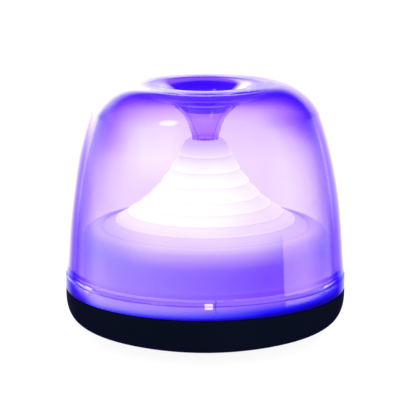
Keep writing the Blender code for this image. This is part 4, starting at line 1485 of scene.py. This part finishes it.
# a small soft lamp at the upper left: angle, centre, half size
squares = [
    sky.math("POWER", sky.math("DIVIDE", sky.minus(angle, centre), half), 2.0)
    for angle, centre, half in ((azimuth, -53.0, 12.0), (elevation, 54.0, 8.0))
]
lamp = soft(sky.math("SQRT", sky.plus(*squares)), start=0.2, end=1.4, to=(1, 0))
neutral = sky.plus(
    sky.times(back, NEUTRAL_STRENGTH["back"]), sky.times(screen, NEUTRAL_STRENGTH["screen"])
)
neutral = sky.plus(neutral, sky.times(lamp, NEUTRAL_STRENGTH["lamp"]))
neutral = sky.plus(neutral, sky.times(left_card, NEUTRAL_STRENGTH["left"]))

path = sky.new("LightPath")
through = path.outputs["Is Transmission Ray"]
glossy = sky.times(path.outputs["Is Glossy Ray"], sky.minus(1.0, through))
plain = sky.times(sky.minus(1.0, sky.math("MAXIMUM", glossy, through)), PLAIN_STRENGTH)
# seen through the glass: the white room low down, dusk overhead and to the sides
behind = sky.times(
    soft(north, start=0.72, end=0.97), soft(elevation, start=8, end=22, to=(1, 0))
)
seen = sky.math("MAXIMUM", soft(elevation, start=-3, end=14, to=(1, 0)), behind)
combine = sky.new("CombineColor")
for channel, card, dusk, left_gain in CHANNELS:
    dusk = sky.times(dusk, soft(east, start=0.1, end=-0.5, to=(1, left_gain)))
    mirrored = sky.plus(sky.plus(neutral, sky.times(right_card, card)), dusk)
    clear_view = sky.math("MAXIMUM", sky.times(seen, SEEN_STRENGTH), dusk)
    rays = sky.plus(sky.times(glossy, mirrored), sky.times(through, clear_view))
    sky.put(combine, channel, sky.plus(plain, rays))
sky.put(background, "Color", combine.outputs[0])

# ================================================================ camera and render
CAMERA_ELEVATION = math.radians(12.4)
CAMERA_DISTANCE = 0.984  # metres
CAMERA_TARGET = Vector((0.0, 0.0, 0.072))

camera_data = bpy.data.cameras.new("camera")
camera = add_object("camera", camera_data)
scene.camera = camera
camera.location = CAMERA_TARGET + CAMERA_DISTANCE * Vector(
    (0, -math.cos(CAMERA_ELEVATION), math.sin(CAMERA_ELEVATION))
)
camera.rotation_euler = (math.pi / 2 - CAMERA_ELEVATION, 0, 0)
camera_data.lens = 147.95
camera_data.sensor_width = 36.0
camera_data.shift_x = 0.0065
camera_data.clip_start = 0.01

scene.view_settings.view_transform = "Standard"
scene.view_settings.look = "None"
cycles = scene.cycles
cycles.use_denoising = True
cycles.max_bounces = 28
cycles.transmission_bounces = 28
cycles.glossy_bounces = 12
cycles.diffuse_bounces = 3
cycles.transparent_max_bounces = 16
cycles.sample_clamp_indirect = 4.0
